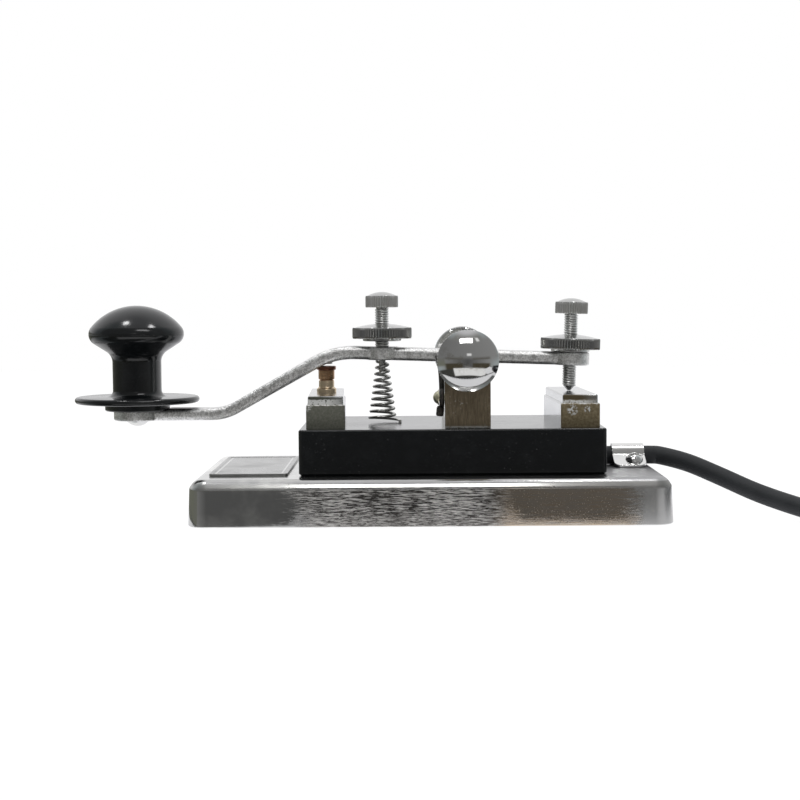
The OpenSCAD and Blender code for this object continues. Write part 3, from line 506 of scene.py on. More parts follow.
# Geometry Nodes: knurled teeth and screw threads
def startNodes(name, sizes):
    group = bpy.data.node_groups.new(name, "GeometryNodeTree")
    face = group.interface
    face.new_socket("Geometry", in_out="INPUT", socket_type="NodeSocketGeometry")
    for label, value in sizes.items():
        kind = "NodeSocketInt" if isinstance(value, int) else "NodeSocketFloat"
        socket = face.new_socket(label, in_out="INPUT", socket_type=kind)
        socket.default_value = value
    face.new_socket("Material", in_out="INPUT", socket_type="NodeSocketMaterial")
    face.new_socket("Geometry", in_out="OUTPUT", socket_type="NodeSocketGeometry")
    tree = Tree(group)
    start = group.nodes.new("NodeGroupInput")
    wires = {socket.name: Wire(tree, socket) for socket in start.outputs if socket.name}
    return tree, wires


def endNodes(tree, geometry, material):
    real = tree.add("GeometryNodeRealizeInstances", None, [geometry])
    done = tree.add("GeometryNodeSetMaterial", None, {"Geometry": real, "Material": material})
    end = tree.tree.nodes.new("NodeGroupOutput")
    tree.tree.links.new(done.socket, end.inputs[0])


# A ring of straight teeth: four-sided bars on edge, with their ends drawn in
def buildTeeth():
    tree, size = startNodes("teeth", {"Root Radius": 0.008, "Depth": 0.0003, "Height": 0.003,
                                      "Chamfer": 0.0004, "Teeth": 60})
    half = size["Depth"] * 1.5
    bar = tree.add("GeometryNodeMeshCylinder", {"fill_type": "NGON"},
                   {"Vertices": 4, "Side Segments": 8, "Radius": half, "Depth": size["Height"]})
    height = tree.split(tree.add("GeometryNodeInputPosition"))[2].math("ABSOLUTE")
    edge = size["Height"] * 0.5
    share = ((edge - height) / size["Chamfer"]).math("MINIMUM", 1.0).math("MAXIMUM", 0.82)
    at = tree.split(tree.add("GeometryNodeInputPosition"))
    moved = tree.add("ShaderNodeCombineXYZ", None, [at[0] * share, at[1] * share, at[2]])
    shaped = tree.add("GeometryNodeSetPosition", None, {"Geometry": bar, "Position": moved})
    ring = tree.add("GeometryNodeMeshCircle", None,
                    {"Vertices": size["Teeth"],
                     "Radius": size["Root Radius"] + size["Depth"] - half})
    outward = tree.add("FunctionNodeAlignEulerToVector", {"axis": "X"},
                       {"Vector": tree.add("GeometryNodeInputPosition")})
    placed = tree.add("GeometryNodeInstanceOnPoints", None,
                      {"Points": ring, "Instance": shaped, "Rotation": outward})
    endNodes(tree, placed, size["Material"])
    return tree.tree


# A screw thread: a sharp ridge wound up a core
def buildThread():
    tree, size = startNodes("thread", {"Core Radius": 0.0017, "Depth": 0.0003, "Height": 0.005,
                                       "Pitch": 0.0007, "Steps": 32})
    turns = size["Height"] / size["Pitch"]
    line = tree.add("GeometryNodeCurveSpiral", None,
                    {"Resolution": size["Steps"], "Rotations": turns,
                     "Start Radius": size["Core Radius"], "End Radius": size["Core Radius"],
                     "Height": size["Height"]})
    level = tree.add("GeometryNodeSetCurveNormal", {"mode": "Z_UP"}, [line])
    ridge = tree.add("GeometryNodeCurvePrimitiveCircle", None,
                     {"Resolution": 8, "Radius": size["Depth"]})
    wound = tree.add("GeometryNodeCurveToMesh", None,
                     {"Curve": level, "Profile Curve": ridge, "Fill Caps": True})
    core = tree.add("GeometryNodeMeshCylinder", {"fill_type": "NGON"},
                    {"Vertices": 32, "Radius": size["Core Radius"], "Depth": size["Height"]})
    lifted = tree.add("GeometryNodeTransform", None,
                      {"Geometry": core,
                       "Translation": tree.add("ShaderNodeCombineXYZ", None,
                                               {"Z": size["Height"] * 0.5})})
    join = tree.tree.nodes.new("GeometryNodeJoinGeometry")
    for wire in (lifted, wound):
        tree.tree.links.new(wire.socket, join.inputs[0])
    endNodes(tree, Wire(tree, join.outputs[0]), size["Material"])
    return tree.tree


teethNodes = buildTeeth()
threadNodes = buildThread()


# Runs a node tree with its sizes and keeps the plain mesh, moved to its place
def grown(name, body, group, sizes, material, matrix, sharp=25):
    holder = bpy.data.objects.new(name, bpy.data.meshes.new(name))
    scene.collection.objects.link(holder)
    grow = holder.modifiers.new("grow", "NODES")
    grow.node_group = group
    keys = {item.name: item.identifier for item in group.interface.items_tree
            if item.in_out == "INPUT"}
    for label, value in sizes.items():
        grow[keys[label]] = value
    grow[keys["Material"]] = material
    mesh = settled(holder)
    mesh.transform(matrix)
    finishMesh(mesh, material, sharp)
    return placePiece(name, body, mesh)


# As axisAt, for meshes that are already in metres
def axisMetres(point, along=(0, 0, 1)):
    return axisAt(point, along) @ Matrix.Scale(1 / mm, 4)


print("node trees built")


# Materials of the key. The base's zones start and end softly, in metres: along X the plain left
# end, the worn middle (its dark colour painted shade), the brown stretch and the right end; up Z
# the rounding (darkened as painted shade, most at the right) and the top
baseZones = {"face": (-0.0305, -0.0325), "faceTop": (0.0116, 0.0098), "left": (-0.045, -0.034),
             "wearAndShadeStart": (-0.041, -0.029), "wearAndShadeEnd": (0.013, 0.0235),
             "brownStart": (0.014, 0.022), "brownEnd": (0.05, 0.058), "rightEnd": (0.052, 0.058),
             "dullLeft": (-0.04, -0.032), "dullRight": (0.022, 0.036), "shadedEdge": (0.02, 0.036),
             "greyTop": (0.044, 0.05), "roundingStart": (0.0098, 0.0108),
             "roundingEnd": (0.0119, 0.0124), "top": (0.0119, 0.0125)}


def paintBase(tree):
    x, y, z = tree.position()
    where = tree.place()
    cloud = tree.noise(where, 45, 4, 0.6)
    speck = tree.noise(where, 2600, 2, 0.6)
    streaks = tree.noise(tree.place(scale=(0.32, 1, 6)), 1000, 4, 0.7, 0.3)
    lines = tree.noise(tree.place(scale=(1, 1, 30)), 170, 3, 0.6)
    zone = baseZones
    onFront = y.step(*zone["face"]) * z.step(*zone["faceTop"])
    ragged = x + (cloud - 0.5) * 0.03 + (streaks - 0.5) * 0.02
    worn = ragged.step(*zone["wearAndShadeStart"]) * (1 - ragged.step(*zone["wearAndShadeEnd"])) * onFront
    brown = x.step(*zone["brownStart"]) * onFront * (1 - ragged.step(*zone["brownEnd"]))
    end = ragged.step(*zone["rightEnd"])
    dull = x.step(*zone["dullRight"]) + (1 - x.step(*zone["dullLeft"]))
    # Scratches through the worn zone, and dots in the brown one
    broken = cloud * 0.2 + streaks * 0.9
    scratch = worn * broken.step(0.545, 0.59)
    dots = (brown * lines.step(0.42, 0.58) + end * onFront) * speck.step(0.58, 0.68)
    colour = tree.mix(cloud.step(0.4, 0.65), (0.55, 0.55, 0.54), (0.63, 0.63, 0.62))
    left = (1 - x.step(*zone["left"])) * cloud.step(0.4, 0.6)
    colour = tree.mix(left * 0.7, colour, (0.92, 0.92, 0.88))
    # Painted shade: the worn middle of the front face is darkened nearly to black; its scratches
    # and streaks are wear
    colour = tree.mix(worn * 0.85, colour, (0.12, 0.11, 0.1))
    colour = tree.mix(brown * (0.5 + 0.5 * lines.step(0.35, 0.65)), colour, (0.66, 0.54, 0.41))
    colour = tree.mix(scratch, colour, (0.82, 0.8, 0.77))
    colour = tree.mix(dots * 0.4, colour, (0.7, 0.67, 0.6))
    rounding = z.step(*zone["roundingStart"]) * (1 - z.step(*zone["roundingEnd"]))
    top = z.step(*zone["top"])
    greyTop = x.step(*zone["greyTop"])
    # Painted shade: the rounded top edge is darkened a little along its length and most towards the
    # right end
    colour = tree.mix(rounding * (0.25 + x.step(*zone["shadedEdge"]) * 0.65), colour,
                      (0.3, 0.295, 0.285))
    colour = tree.mix(top * greyTop, colour, (0.38, 0.38, 0.385))
    rough = (0.07 + cloud * 0.05 + top * (0.06 + greyTop * 0.22) + rounding * dull * 0.2
             + scratch * 0.3 + dots * 0.25 + end * (1 - top) * 0.2)
    height = streaks * worn + speck * brown * 0.15 + lines * brown * 0.3 + cloud * 0.25
    return {"Base Color": colour, "Roughness": rough, "Metallic": 1 - scratch * 0.7,
            "Normal": tree.bump(height, 0.35, 0.0001)}


def paintBakelite(dust):
    def paint(tree):
        where = tree.place()
        cloud = tree.noise(where, 50, 4)
        swirl = tree.noise(where, 260, 4, 0.6, 1.2)
        speck = tree.noise(where, 2300, 1)
        lint = speck.step(0.74, 0.78) * cloud.step(0.45, 0.6)
        colour = tree.mix(swirl.step(0.45, 0.75), (0.0065, 0.0077, 0.0085), (0.011, 0.0125, 0.0135))
        colour = tree.mix(lint * dust, colour, (0.25, 0.25, 0.24))
        rough = 0.09 + cloud * 0.08 + swirl * 0.06 + lint * 0.3
        height = swirl * 0.5 + cloud
        return {"Base Color": colour, "Roughness": rough,
                "Normal": tree.bump(height, 0.08, 0.0002)}
    return paint


def paintCasting(tree):
    where = tree.place()
    grain = tree.noise(where, 2400, 3, 0.6)
    lumps = tree.noise(where, 700, 3)
    cloud = tree.noise(where, 60, 3)
    bright = (grain * 0.6 + lumps * 0.4).step(0.42, 0.58)
    colour = tree.mix(bright, (0.58, 0.58, 0.57), (0.93, 0.93, 0.92))
    colour = tree.mix(cloud.step(0.5, 0.75) * 0.3, colour, (0.6, 0.59, 0.57))
    rough = 0.26 + bright * 0.1 + cloud * 0.08
    return {"Base Color": colour, "Roughness": rough,
            "Normal": tree.bump(grain + lumps * 0.8, 0.75, 0.00018)}


# Yoke: bare brushed bronze in front, plating on its other sides, and a painted highlight in plating
# tone about its foot
yokeZones = {"front": (-0.0222, -0.0227), "foot": (0.0264, 0.0258)}


def paintYoke(tree):
    y, z = tree.position()[1:]
    where = tree.place()
    brush = tree.noise(tree.place(scale=(9, 1, 1)), 330, 4, 0.7, 0.3)
    cloud = tree.noise(where, 120, 4)
    speck = tree.noise(where, 1500, 3)
    frontFace = y.step(*yokeZones["front"])
    # Painted highlight: the patchy lighter band along the foot's bottom edge; the chips elsewhere
    # are real plating
    foot = z.step(*yokeZones["foot"])
    chips = speck.step(0.6, 0.68) * cloud.step(0.48, 0.62) * 0.5
    plated = (1 - frontFace).math("MAXIMUM", chips).math("MAXIMUM", foot * speck.step(0.36, 0.46))
    bronze = tree.mix(brush.step(0.35, 0.7), (0.165, 0.133, 0.088), (0.265, 0.218, 0.152))
    colour = tree.mix(plated, bronze, (0.6, 0.6, 0.57))
    rough = 0.42 - plated * 0.22 + brush * 0.12
    return {"Base Color": colour, "Roughness": rough,
            "Normal": tree.bump(brush + plated * 0.8, 0.3, 0.00015)}


# Strip: its front face is bare but for flakes of plating along its edge and in round spots; its
# plated sides carry painted shade, darker lower down
stripZones = {"front": (-0.0192, -0.0195), "plate": (0.0327, 0.0331), "rise": (0.0262, 0.0322)}


def paintStrip(bare, pale, edge, half, spots):
    def paint(tree):
        x, y, z = tree.position()
        where = tree.place()
        cloud = tree.noise(where, 160, 4, 0.65)
        speck = tree.noise(where, 1500, 3, 0.7)
        worn = y.step(*stripZones["front"])
        onPlate = z.step(*stripZones["plate"])
        jag = z + (speck - 0.5) * 0.0014 + (cloud - 0.5) * 0.001
        flakes = jag.band(edge, half, 0.00015) * worn * speck.step(0.34, 0.44)
        patches = speck.step(0.45, 0.56) * worn
        for middle, up, size in spots:
            away = ((x - middle) ** 2.0 + (z - up) ** 2.0) ** 0.5 + (cloud - 0.5) * 0.0016
            flakes = flakes + patches * (1 - away.step(size * 0.6, size))
        flakes = flakes.math("MINIMUM", 1.0)
        bareTone = tree.mix(speck.step(0.35, 0.7), bare, pale)
        bareTone = tree.mix(onPlate, bareTone, tuple(v * 0.55 for v in bare))
        # Painted shade: the plated sides and top grow darker lower down and lighter towards the top
        rise = z.step(*stripZones["rise"])
        plated = tree.mix(rise, (0.3, 0.31, 0.32), (0.5, 0.505, 0.51))
        colour = tree.mix(worn, plated, bareTone)
        colour = tree.mix(flakes, colour, (0.78, 0.78, 0.76))
        rough = 0.12 + worn * 0.42 + cloud * 0.08
        return {"Base Color": colour, "Roughness": rough,
                "Metallic": 1 - worn * 0.35 - flakes * 0.3,
                "Normal": tree.bump(speck * worn + flakes * 0.5, 0.35, 0.00012)}
    return paint


def paintSteel(tree):
    where = tree.place()
    cloud = tree.noise(where, 130, 3)
    fine = tree.noise(where, 2500, 2)
    colour = tree.mix(cloud.step(0.35, 0.7), (0.64, 0.64, 0.63), (0.48, 0.475, 0.465))
    return {"Base Color": colour, "Roughness": 0.1 + cloud * 0.14 + fine * 0.06,
            "Normal": tree.bump(fine, 0.15, 0.00008)}


# Brass of the post: paler below its groove, dark on its head
postZones = {"groove": (0.0374, 0.038), "head": (0.0402, 0.0408)}


def paintBrass(tree):
    z = tree.position()[2]
    cloud = tree.noise(tree.place(), 260, 3)
    rings = tree.noise(tree.place(scale=(1, 1, 14)), 260, 2)
    low = 1 - z.step(*postZones["groove"])
    colour = tree.mix(cloud.step(0.4, 0.7), (0.62, 0.4, 0.24), (0.4, 0.24, 0.14))
    colour = tree.mix(low, colour, (0.74, 0.6, 0.42))
    colour = tree.mix(z.step(*postZones["head"]), colour, (0.2, 0.09, 0.06))
    return {"Base Color": colour, "Roughness": 0.2 + rings * 0.2,
            "Normal": tree.bump(rings, 0.25, 0.0001)}


def paintPaleBrass(tree):
    where = tree.place()
    cloud = tree.noise(where, 300, 3)
    colour = tree.mix(cloud.step(0.4, 0.65), (0.72, 0.68, 0.5), (0.5, 0.45, 0.3))
    return {"Base Color": colour, "Roughness": 0.24 + cloud * 0.16,
            "Normal": tree.bump(cloud, 0.2, 0.0001)}


def paintRubber(tree):
    where = tree.place()
    fine = tree.noise(where, 900, 3)
    colour = tree.mix(fine.step(0.4, 0.7), (0.018, 0.018, 0.018), (0.035, 0.034, 0.033))
    return {"Base Color": colour, "Roughness": 0.7 + fine * 0.15,
            "Normal": tree.bump(fine, 0.3, 0.0002)}


def paintCore(tree):
    fine = tree.noise(tree.place(), 600, 2)
    colour = tree.mix(fine, (0.3, 0.03, 0.02), (0.38, 0.05, 0.03))
    return {"Base Color": colour, "Roughness": 0.4 + fine * 0.1}


def paintSleeving(tree):
    where = tree.place(turn=(0, 0.6, 0), scale=(1, 1, 0.4))
    weave = tree.noise(where, 1500, 2)
    colour = tree.mix(weave.step(0.4, 0.65), (0.012, 0.011, 0.01), (0.06, 0.05, 0.04))
    return {"Base Color": colour, "Roughness": 0.5 + weave * 0.2,
            "Normal": tree.bump(weave, 0.4, 0.00015)}


# Name plate in metres: its middle and half sizes, and the border line's edges from its rim
labelFacts = {"middleX": -0.049425, "halfX": 0.010675, "halfY": 0.0235,
              "lineStart": (0.0013, 0.0015), "lineEnd": (0.0018, 0.002)}


def paintLabel(tree):
    facts = labelFacts
    x, y = tree.position()[:2]
    cloud = tree.noise(tree.place(), 110, 4)
    wear = tree.noise(tree.place(scale=(1, 7, 1)), 240, 3)
    colour = tree.mix(cloud.step(0.4, 0.7), (0.47, 0.47, 0.465), (0.37, 0.37, 0.365))
    insideX = facts["halfX"] - (x - facts["middleX"]).math("ABSOLUTE")
    inside = insideX.math("MINIMUM", facts["halfY"] - y.math("ABSOLUTE"))
    border = inside.step(*facts["lineStart"]) * (1 - inside.step(*facts["lineEnd"]))
    colour = tree.mix(border * 0.8, colour, (0.8, 0.8, 0.79))
    return {"Base Color": colour, "Roughness": 0.22 + cloud * 0.12 + wear.step(0.5, 0.7) * 0.12,
            "Normal": tree.bump(wear, 0.12, 0.0001)}


metal = {"Metallic": 1.0}
basePlating = makeMaterial("basePlating", metal, paintBase)
nutPlating = makeMaterial("nutPlating", metal, paintPlating(0.2, 0.52, 0.3))
headPlating = makeMaterial("headPlating", metal, paintPlating(0.4, 0.8, 0.42, 1600, 0.26))
teethPlating = makeMaterial("teethPlating", metal, paintPlating(0.2, 0.5, 0.3, 1600))
capPlating = makeMaterial("capPlating", metal, paintPlating(0.03, 0.64, 0.52, 900, 0.03))
leverCasting = makeMaterial("leverCasting", metal, paintCasting)
knobBakelite = makeMaterial("knobBakelite", {"Specular IOR Level": 0.5}, paintBakelite(0.12))
blockBakelite = makeMaterial("blockBakelite", {"Specular IOR Level": 0.5}, paintBakelite(0.25))
yokeBronze = makeMaterial("yokeBronze", metal, paintYoke)
frontStripMetal = makeMaterial(
    "frontStripMetal", metal, paintStrip((0.185, 0.19, 0.155), (0.26, 0.26, 0.22), 0.0326, 0.0008,
                                         [(-0.0335, 0.0317, 0.0016)]))
rearStripMetal = makeMaterial(
    "rearStripMetal", metal, paintStrip((0.22, 0.175, 0.1), (0.36, 0.3, 0.19), 0.0323, 0.0005,
                                        [(0.0392, 0.03, 0.0017), (0.0432, 0.0302, 0.0013)]))
steel = makeMaterial("steel", metal, paintSteel)
postBrass = makeMaterial("postBrass", metal, paintBrass)
rubber = makeMaterial("rubber", {}, paintRubber)
paleBrass = makeMaterial("paleBrass", metal, paintPaleBrass)
coreInsulation = makeMaterial("coreInsulation", {}, paintCore)
sleeving = makeMaterial("sleeving", {}, paintSleeving)
labelMetal = makeMaterial("labelMetal", metal, paintLabel)

# Pieces that keep their CAD solid get a finish only
for node, finish in {"base_floor_plate": steel, "base_floor_screws": steel,
                     "block_screws": steel, "strip_screws": steel, "yoke_screws": steel,
                     "lever_axle": steel, "lever_contact": brightPlating,
                     "knob_insert": postBrass, "cord_leads": coreInsulation}.items():
    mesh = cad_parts[node].data
    mesh.materials.clear()
    mesh.materials.append(finish)
print("materials made")

# Base casting: drafted sides, rounded top edge, a rim round the recessed pad
baseFacts = {"length": 130, "width": 70, "bottom": 0.5, "height": 12.5, "draft": 2.5,
             "bevels": (14, 31, 34, 37), "bevelStep": 0.4, "turnLean": 39, "edge": 2.7,
             "corner": 5.5, "rim": 2.5, "recess": 3.0, "chamfer": 0.25, "innerCorner": 0.4}


def slabRings(length, width, steps, profile):
    rings = []
    for corner, height in profile:
        ring = []
        for sx, sy, start in ((1, 1, 0), (-1, 1, 90), (-1, -1, 180), (1, -1, 270)):
            for px, py in arc((0, 0), 1, start, start + 90, steps):
                ring.append((sx * length / 2 + px * corner[0] - sx * corner[1],
                             sy * width / 2 + py * corner[0] - sy * corner[1], height))
        rings.append(ring)
    return rings


# Rings of equal count, joined and closed at both ends
def ringSolid(name, body, rings, material, sharp=35):
    count = len(rings[0])
    points = [Vector(p) * mm for ring in rings for p in ring]
    faces = [tuple(reversed(range(count)))]
    for i in range(len(rings) - 1):
        for k in range(count):
            j = (k + 1) % count
            faces.append((i * count + k, i * count + j, (i + 1) * count + j, (i + 1) * count + k))
    faces.append(tuple((len(rings) - 1) * count + k for k in range(count)))
    return newPiece(name, body, points, faces, material, sharp)


def makeBase(facts):
    low, corner, chamfer = facts["bottom"], facts["corner"], facts["chamfer"]
    top = low + facts["height"]
    slope = math.tan(math.radians(facts["draft"]))
    outline = [(corner - facts["rim"], facts["recess"]), (corner - facts["rim"], low),
               (corner - chamfer, low), (corner, low + chamfer)]
    outline += [(corner - (h - low) * slope, h) for h in (low + 3, low + 6, top - facts["edge"])]
    # The edge: a nearly flat bevel, then a round turn into the top
    r, h = outline[-1]
    for lean in facts["bevels"]:
        h += facts["bevelStep"]
        r -= facts["bevelStep"] * math.tan(math.radians(lean))
        outline.append((r, h))
    lean = math.radians(facts["turnLean"])
    turnR = (top - h) / (1 - math.sin(lean))
    outline += arc((r - turnR * math.cos(lean), top - turnR), turnR, facts["turnLean"], 90, 12)[1:]
    outline.append((facts["innerCorner"], top))
    rings = slabRings(facts["length"], facts["width"], 16, [((r, corner), h) for r, h in outline])
    base = evenShade(ringSolid("baseCasting", "base", rings, basePlating, 20))
    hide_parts("base_shell")


makeBase(baseFacts)

# Rubber pad: a sheet with rounded corners
padFacts = {"corner": 3, "segments": 8}


def makePad(facts):
    low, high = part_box("base_pad")
    size, middle = high - low, (high + low) / 2
    work = bmesh.new()
    bmesh.ops.create_cube(work, size=1)
    bmesh.ops.scale(work, vec=size, verts=work.verts)
    bmesh.ops.translate(work, vec=middle, verts=work.verts)
    upright = [e for e in work.edges if abs(e.verts[0].co.z - e.verts[1].co.z) > 0.5 * size.z]
    bmesh.ops.bevel(work, geom=upright, offset=facts["corner"] * mm, segments=facts["segments"],
                    affect="EDGES", profile=0.5)
    mesh = bpy.data.meshes.new("basePad")
    work.to_mesh(mesh)
    work.free()
    finishMesh(mesh, rubber)
    pad = placePiece("basePad", "base", mesh)
    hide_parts("base_pad")


makePad(padFacts)

# Pieces dressed over their CAD solid: name, node, finish, slot and bevel
for dressing in (("namePlate", "name_plate", labelMetal, "plated_brass", 0.12),
                 ("insulatingBlock", "insulating_block", blockBakelite, "bakelite"),
                 ("frontStrip", "front_strip", frontStripMetal, "plated_brass"),
                 ("frontContactPlate", "front_contact_plate", frontStripMetal, "plated_brass"),
                 ("rearStrip", "rear_strip", rearStripMetal, "plated_brass"),
                 ("rearContactPlate", "rear_contact_plate", rearStripMetal, "plated_brass"),
                 ("yoke", "pivot_yoke", yokeBronze, "old_brass", 0.25),
                 ("cordClamp", "cord_clamp", brightPlating, "plated_brass", 0.12),
                 ("clampScrew", "clamp_screw", brightPlating, "plated_brass", 0.08)):
    dressedCopy(*dressing)
print("base, block and strips dressed")

# Contact post, turned: flared foot, grooved barrel and a rolled head
postFacts = {"foot": 2.75, "footEdge": 0.35, "barrel": 2.2, "groove": 0.35, "height": 7.5,
             "head": 2.73, "headRoll": 0.25}


def makePost(facts):
    low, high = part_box("contact_post")
    x, y = (low.x + high.x) / 2 / mm, (low.y + high.y) / 2 / mm
    bottom = high.z / mm - facts["height"]
    r, h = facts["barrel"], facts["height"]
    roll, rollX = facts["headRoll"], facts["head"] - facts["headRoll"]
    profile = [(0, 0), (facts["foot"], 0)]
    profile += arc((facts["foot"] - 0.3, 0.85), facts["footEdge"], 0, 90, 6)
    profile += arc((r + 0.55, 1.75), 0.55, 250, 180, 5)
    profile += [(r, 3.1), (r - 0.08, 3.4), (r - facts["groove"], 3.5), (r - facts["groove"], 3.6),
                (r + 0.02, 3.75), (r + 0.1, 4.0), (r + 0.1, h - 1.15)]
    profile += arc((rollX, h - 0.85), roll, -90, 0, 5) + arc((rollX, h - roll), roll, 0, 90, 5)
    profile += [(1.6, h), (1.5, h - 0.06), (0, h - 0.06)]
    post = turned("contactPost", "base", profile, axisAt((x, y, bottom)), postBrass, 72)
    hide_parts("contact_post")


makePost(postFacts)

# Lever: a swept bar with its eyes, hub and seat, melted together as a casting
leverFacts = {"width": 8.0, "thick": 3.7, "thickLow": 3.4, "edge": 1.3, "fall": 2.0,
              "pivot": (10.45, 44.0), "over": 0.5, "bendX": -26.9, "slope": 29.2, "drop": 17.4,
              "upperRadius": 22.0, "lowerRadius": 14.0, "knobX": -83.2, "springX": -13.1,
              "gapX": 40.4, "contactX": -29.05, "contactTop": 43.4, "knobEye": 6.75,
              "springEye": 5.0, "gapEye": 5.5, "hub": 5.0, "hubLength": 14.0, "boss": 2.2,
              "bossHeight": 1.6, "seat": 9.6, "seatDepth": 0.6, "spotFace": 3.1, "cut": 5.0,
              "voxel": 0.22}


# Height of the lever's middle line over the straight, falling part
def barZ(x):
    facts = leverFacts
    along = x - facts["pivot"][0]
    return facts["pivot"][1] + facts["over"] - along * math.tan(math.radians(facts["fall"]))


# Middle line as (x, z): low bar, lower bend, slope, upper bend, falling bar
def leverLine(facts):
    fall = math.radians(facts["fall"])
    slope = math.radians(facts["slope"])
    bendZ = barZ(facts["bendX"])
    lowZ = bendZ - facts["drop"]
    lowX = facts["bendX"] - facts["drop"] / math.tan(slope)
    lowTrim = facts["lowerRadius"] * math.tan(slope / 2)
    highTrim = facts["upperRadius"] * math.tan((slope + fall) / 2)
    line = [(facts["knobX"] + i * (lowX - lowTrim - facts["knobX"]) / 12, lowZ) for i in range(12)]
    for i in range(13):
        a = slope * i / 12
        line.append((lowX - lowTrim + facts["lowerRadius"] * math.sin(a),
                     lowZ + facts["lowerRadius"] * (1 - math.cos(a))))
    start = Vector((facts["bendX"] - highTrim * math.cos(slope),
                    bendZ - highTrim * math.sin(slope)))
    centre = start + facts["upperRadius"] * Vector((math.sin(slope), -math.cos(slope)))
    for i in range(17):
        a = slope - (slope + fall) * i / 16
        line.append((centre.x - facts["upperRadius"] * math.sin(a),
                     centre.y + facts["upperRadius"] * math.cos(a)))
    first = line[-1][0]
    for i in range(1, 25):
        x = first + (facts["gapX"] - first) * i / 24
        line.append((x, barZ(x)))
    return line, lowZ, bendZ


def cutter(name, radius, height, matrix):
    profile = [(0, 0), (radius, 0), (radius, height), (0, height)]
    piece = turned(name, None, profile, matrix, steel, 64)
    piece.hide_render = True
    return piece


# The bar: rounded sections along the middle line, thinner towards the knob
def leverBar(facts, line, lowZ, bendZ):
    rings = []
    for i, (x, z) in enumerate(line):
        before, after = line[max(i - 1, 0)], line[min(i + 1, len(line) - 1)]
        ahead = Vector((after[0] - before[0], after[1] - before[1])).normalized()
        up = Vector((-ahead.y, ahead.x))
        share = min(1, max(0, (z - lowZ) / (bendZ - lowZ)))
        thick = facts["thickLow"] + (facts["thick"] - facts["thickLow"]) * share
        r, ring = facts["edge"], []
        for sy, su, start in ((1, 1, 0), (-1, 1, 90), (-1, -1, 180), (1, -1, 270)):
            for py, pu in arc((sy * (facts["width"] / 2 - r), su * (thick / 2 - r)), r,
                              start, start + 90, 6):
                ring.append((x + up.x * pu, py, z + up.y * pu))
        rings.append(ring)
    return ringSolid("leverBar", None, rings, leverCasting)


def leverEye(name, radius, thick, matrix, edge=0.5):
    profile = ([(0, -thick / 2)] + arc((radius - edge, -thick / 2 + edge), edge, -90, 0, 4)
               + arc((radius - edge, thick / 2 - edge), edge, 0, 90, 4) + [(0, thick / 2)])
    return turned(name, None, profile, matrix, leverCasting)


def makeLever(facts):
    line, lowZ, bendZ = leverLine(facts)
    fall = math.radians(facts["fall"])
    leaning = (math.sin(fall), 0, math.cos(fall))
    pivotX, pivotZ = facts["pivot"]
    knobX, springX, gapX = facts["knobX"], facts["springX"], facts["gapX"]
    contactX, contactTop = facts["contactX"], facts["contactTop"]
    low, thick = facts["thickLow"], facts["thick"]
    boss, tall = facts["boss"], facts["bossHeight"]
    parts = [
        leverBar(facts, line, lowZ, bendZ),
        leverEye("knobEye", facts["knobEye"], low, axisAt((knobX, 0, lowZ))),
        leverEye("springEye", facts["springEye"], thick, axisAt((springX, 0, barZ(springX)))),
        leverEye("gapEye", facts["gapEye"], thick, axisAt((gapX, 0, barZ(gapX)), leaning)),
        leverEye("hub", facts["hub"], facts["hubLength"],
                 axisAt((pivotX, 0, pivotZ), (0, 1, 0)), 0.4),
        turned("contactBoss", None, [(0, 0), (boss, 0), (boss, tall), (0, tall)],
               axisAt((contactX, 0, contactTop)), leverCasting)]
    seatZ, cut = lowZ + low / 2 - facts["seatDepth"], facts["cut"]
    cuts = [cutter("seatCut", facts["seat"], cut, axisAt((knobX, 0, seatZ))),
            cutter("contactCut", facts["spotFace"], cut, axisAt((contactX, 0, contactTop - cut)))]
    bpy.context.view_layer.update()
    work = bmesh.new()
    for piece in parts:
        work.from_mesh(piece.data)
        bpy.data.objects.remove(piece)
    joined = bpy.data.meshes.new("lever")
    work.to_mesh(joined)
    work.free()
    melt = placePiece("leverMelt", None, joined)
    remesh = melt.modifiers.new("melt", "REMESH")
    remesh.mode = "VOXEL"
    remesh.voxel_size = facts["voxel"] * mm
    relax = melt.modifiers.new("relax", "SMOOTH")
    relax.factor = 0.5
    relax.iterations = 4
    for tool in cuts:
        mill = melt.modifiers.new("mill", "BOOLEAN")
        mill.object = tool
        mill.operation = "DIFFERENCE"
        mill.solver = "EXACT"
    mesh = settled(melt)
    for tool in cuts:
        bpy.data.objects.remove(tool)
    finishMesh(mesh, leverCasting, 50)
    lever = placePiece("leverCasting", "key_lever", mesh)
    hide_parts("lever")
    print("lever faces:", len(mesh.polygons))


makeLever(leverFacts)

# Knob: crown, edge, cone and fillet run into the neck; a finger plate and collar below
knobFacts = {"radius": 13.45, "plate": 17.6, "plateThick": 1.8, "neck": 6.9, "collar": 9.2,
             "collarHeight": 2.2, "height": 29.9, "crown": 8.1, "edge": 3.2, "slope": 33.0,
             "fillet": 3.6, "foot": 1.8}


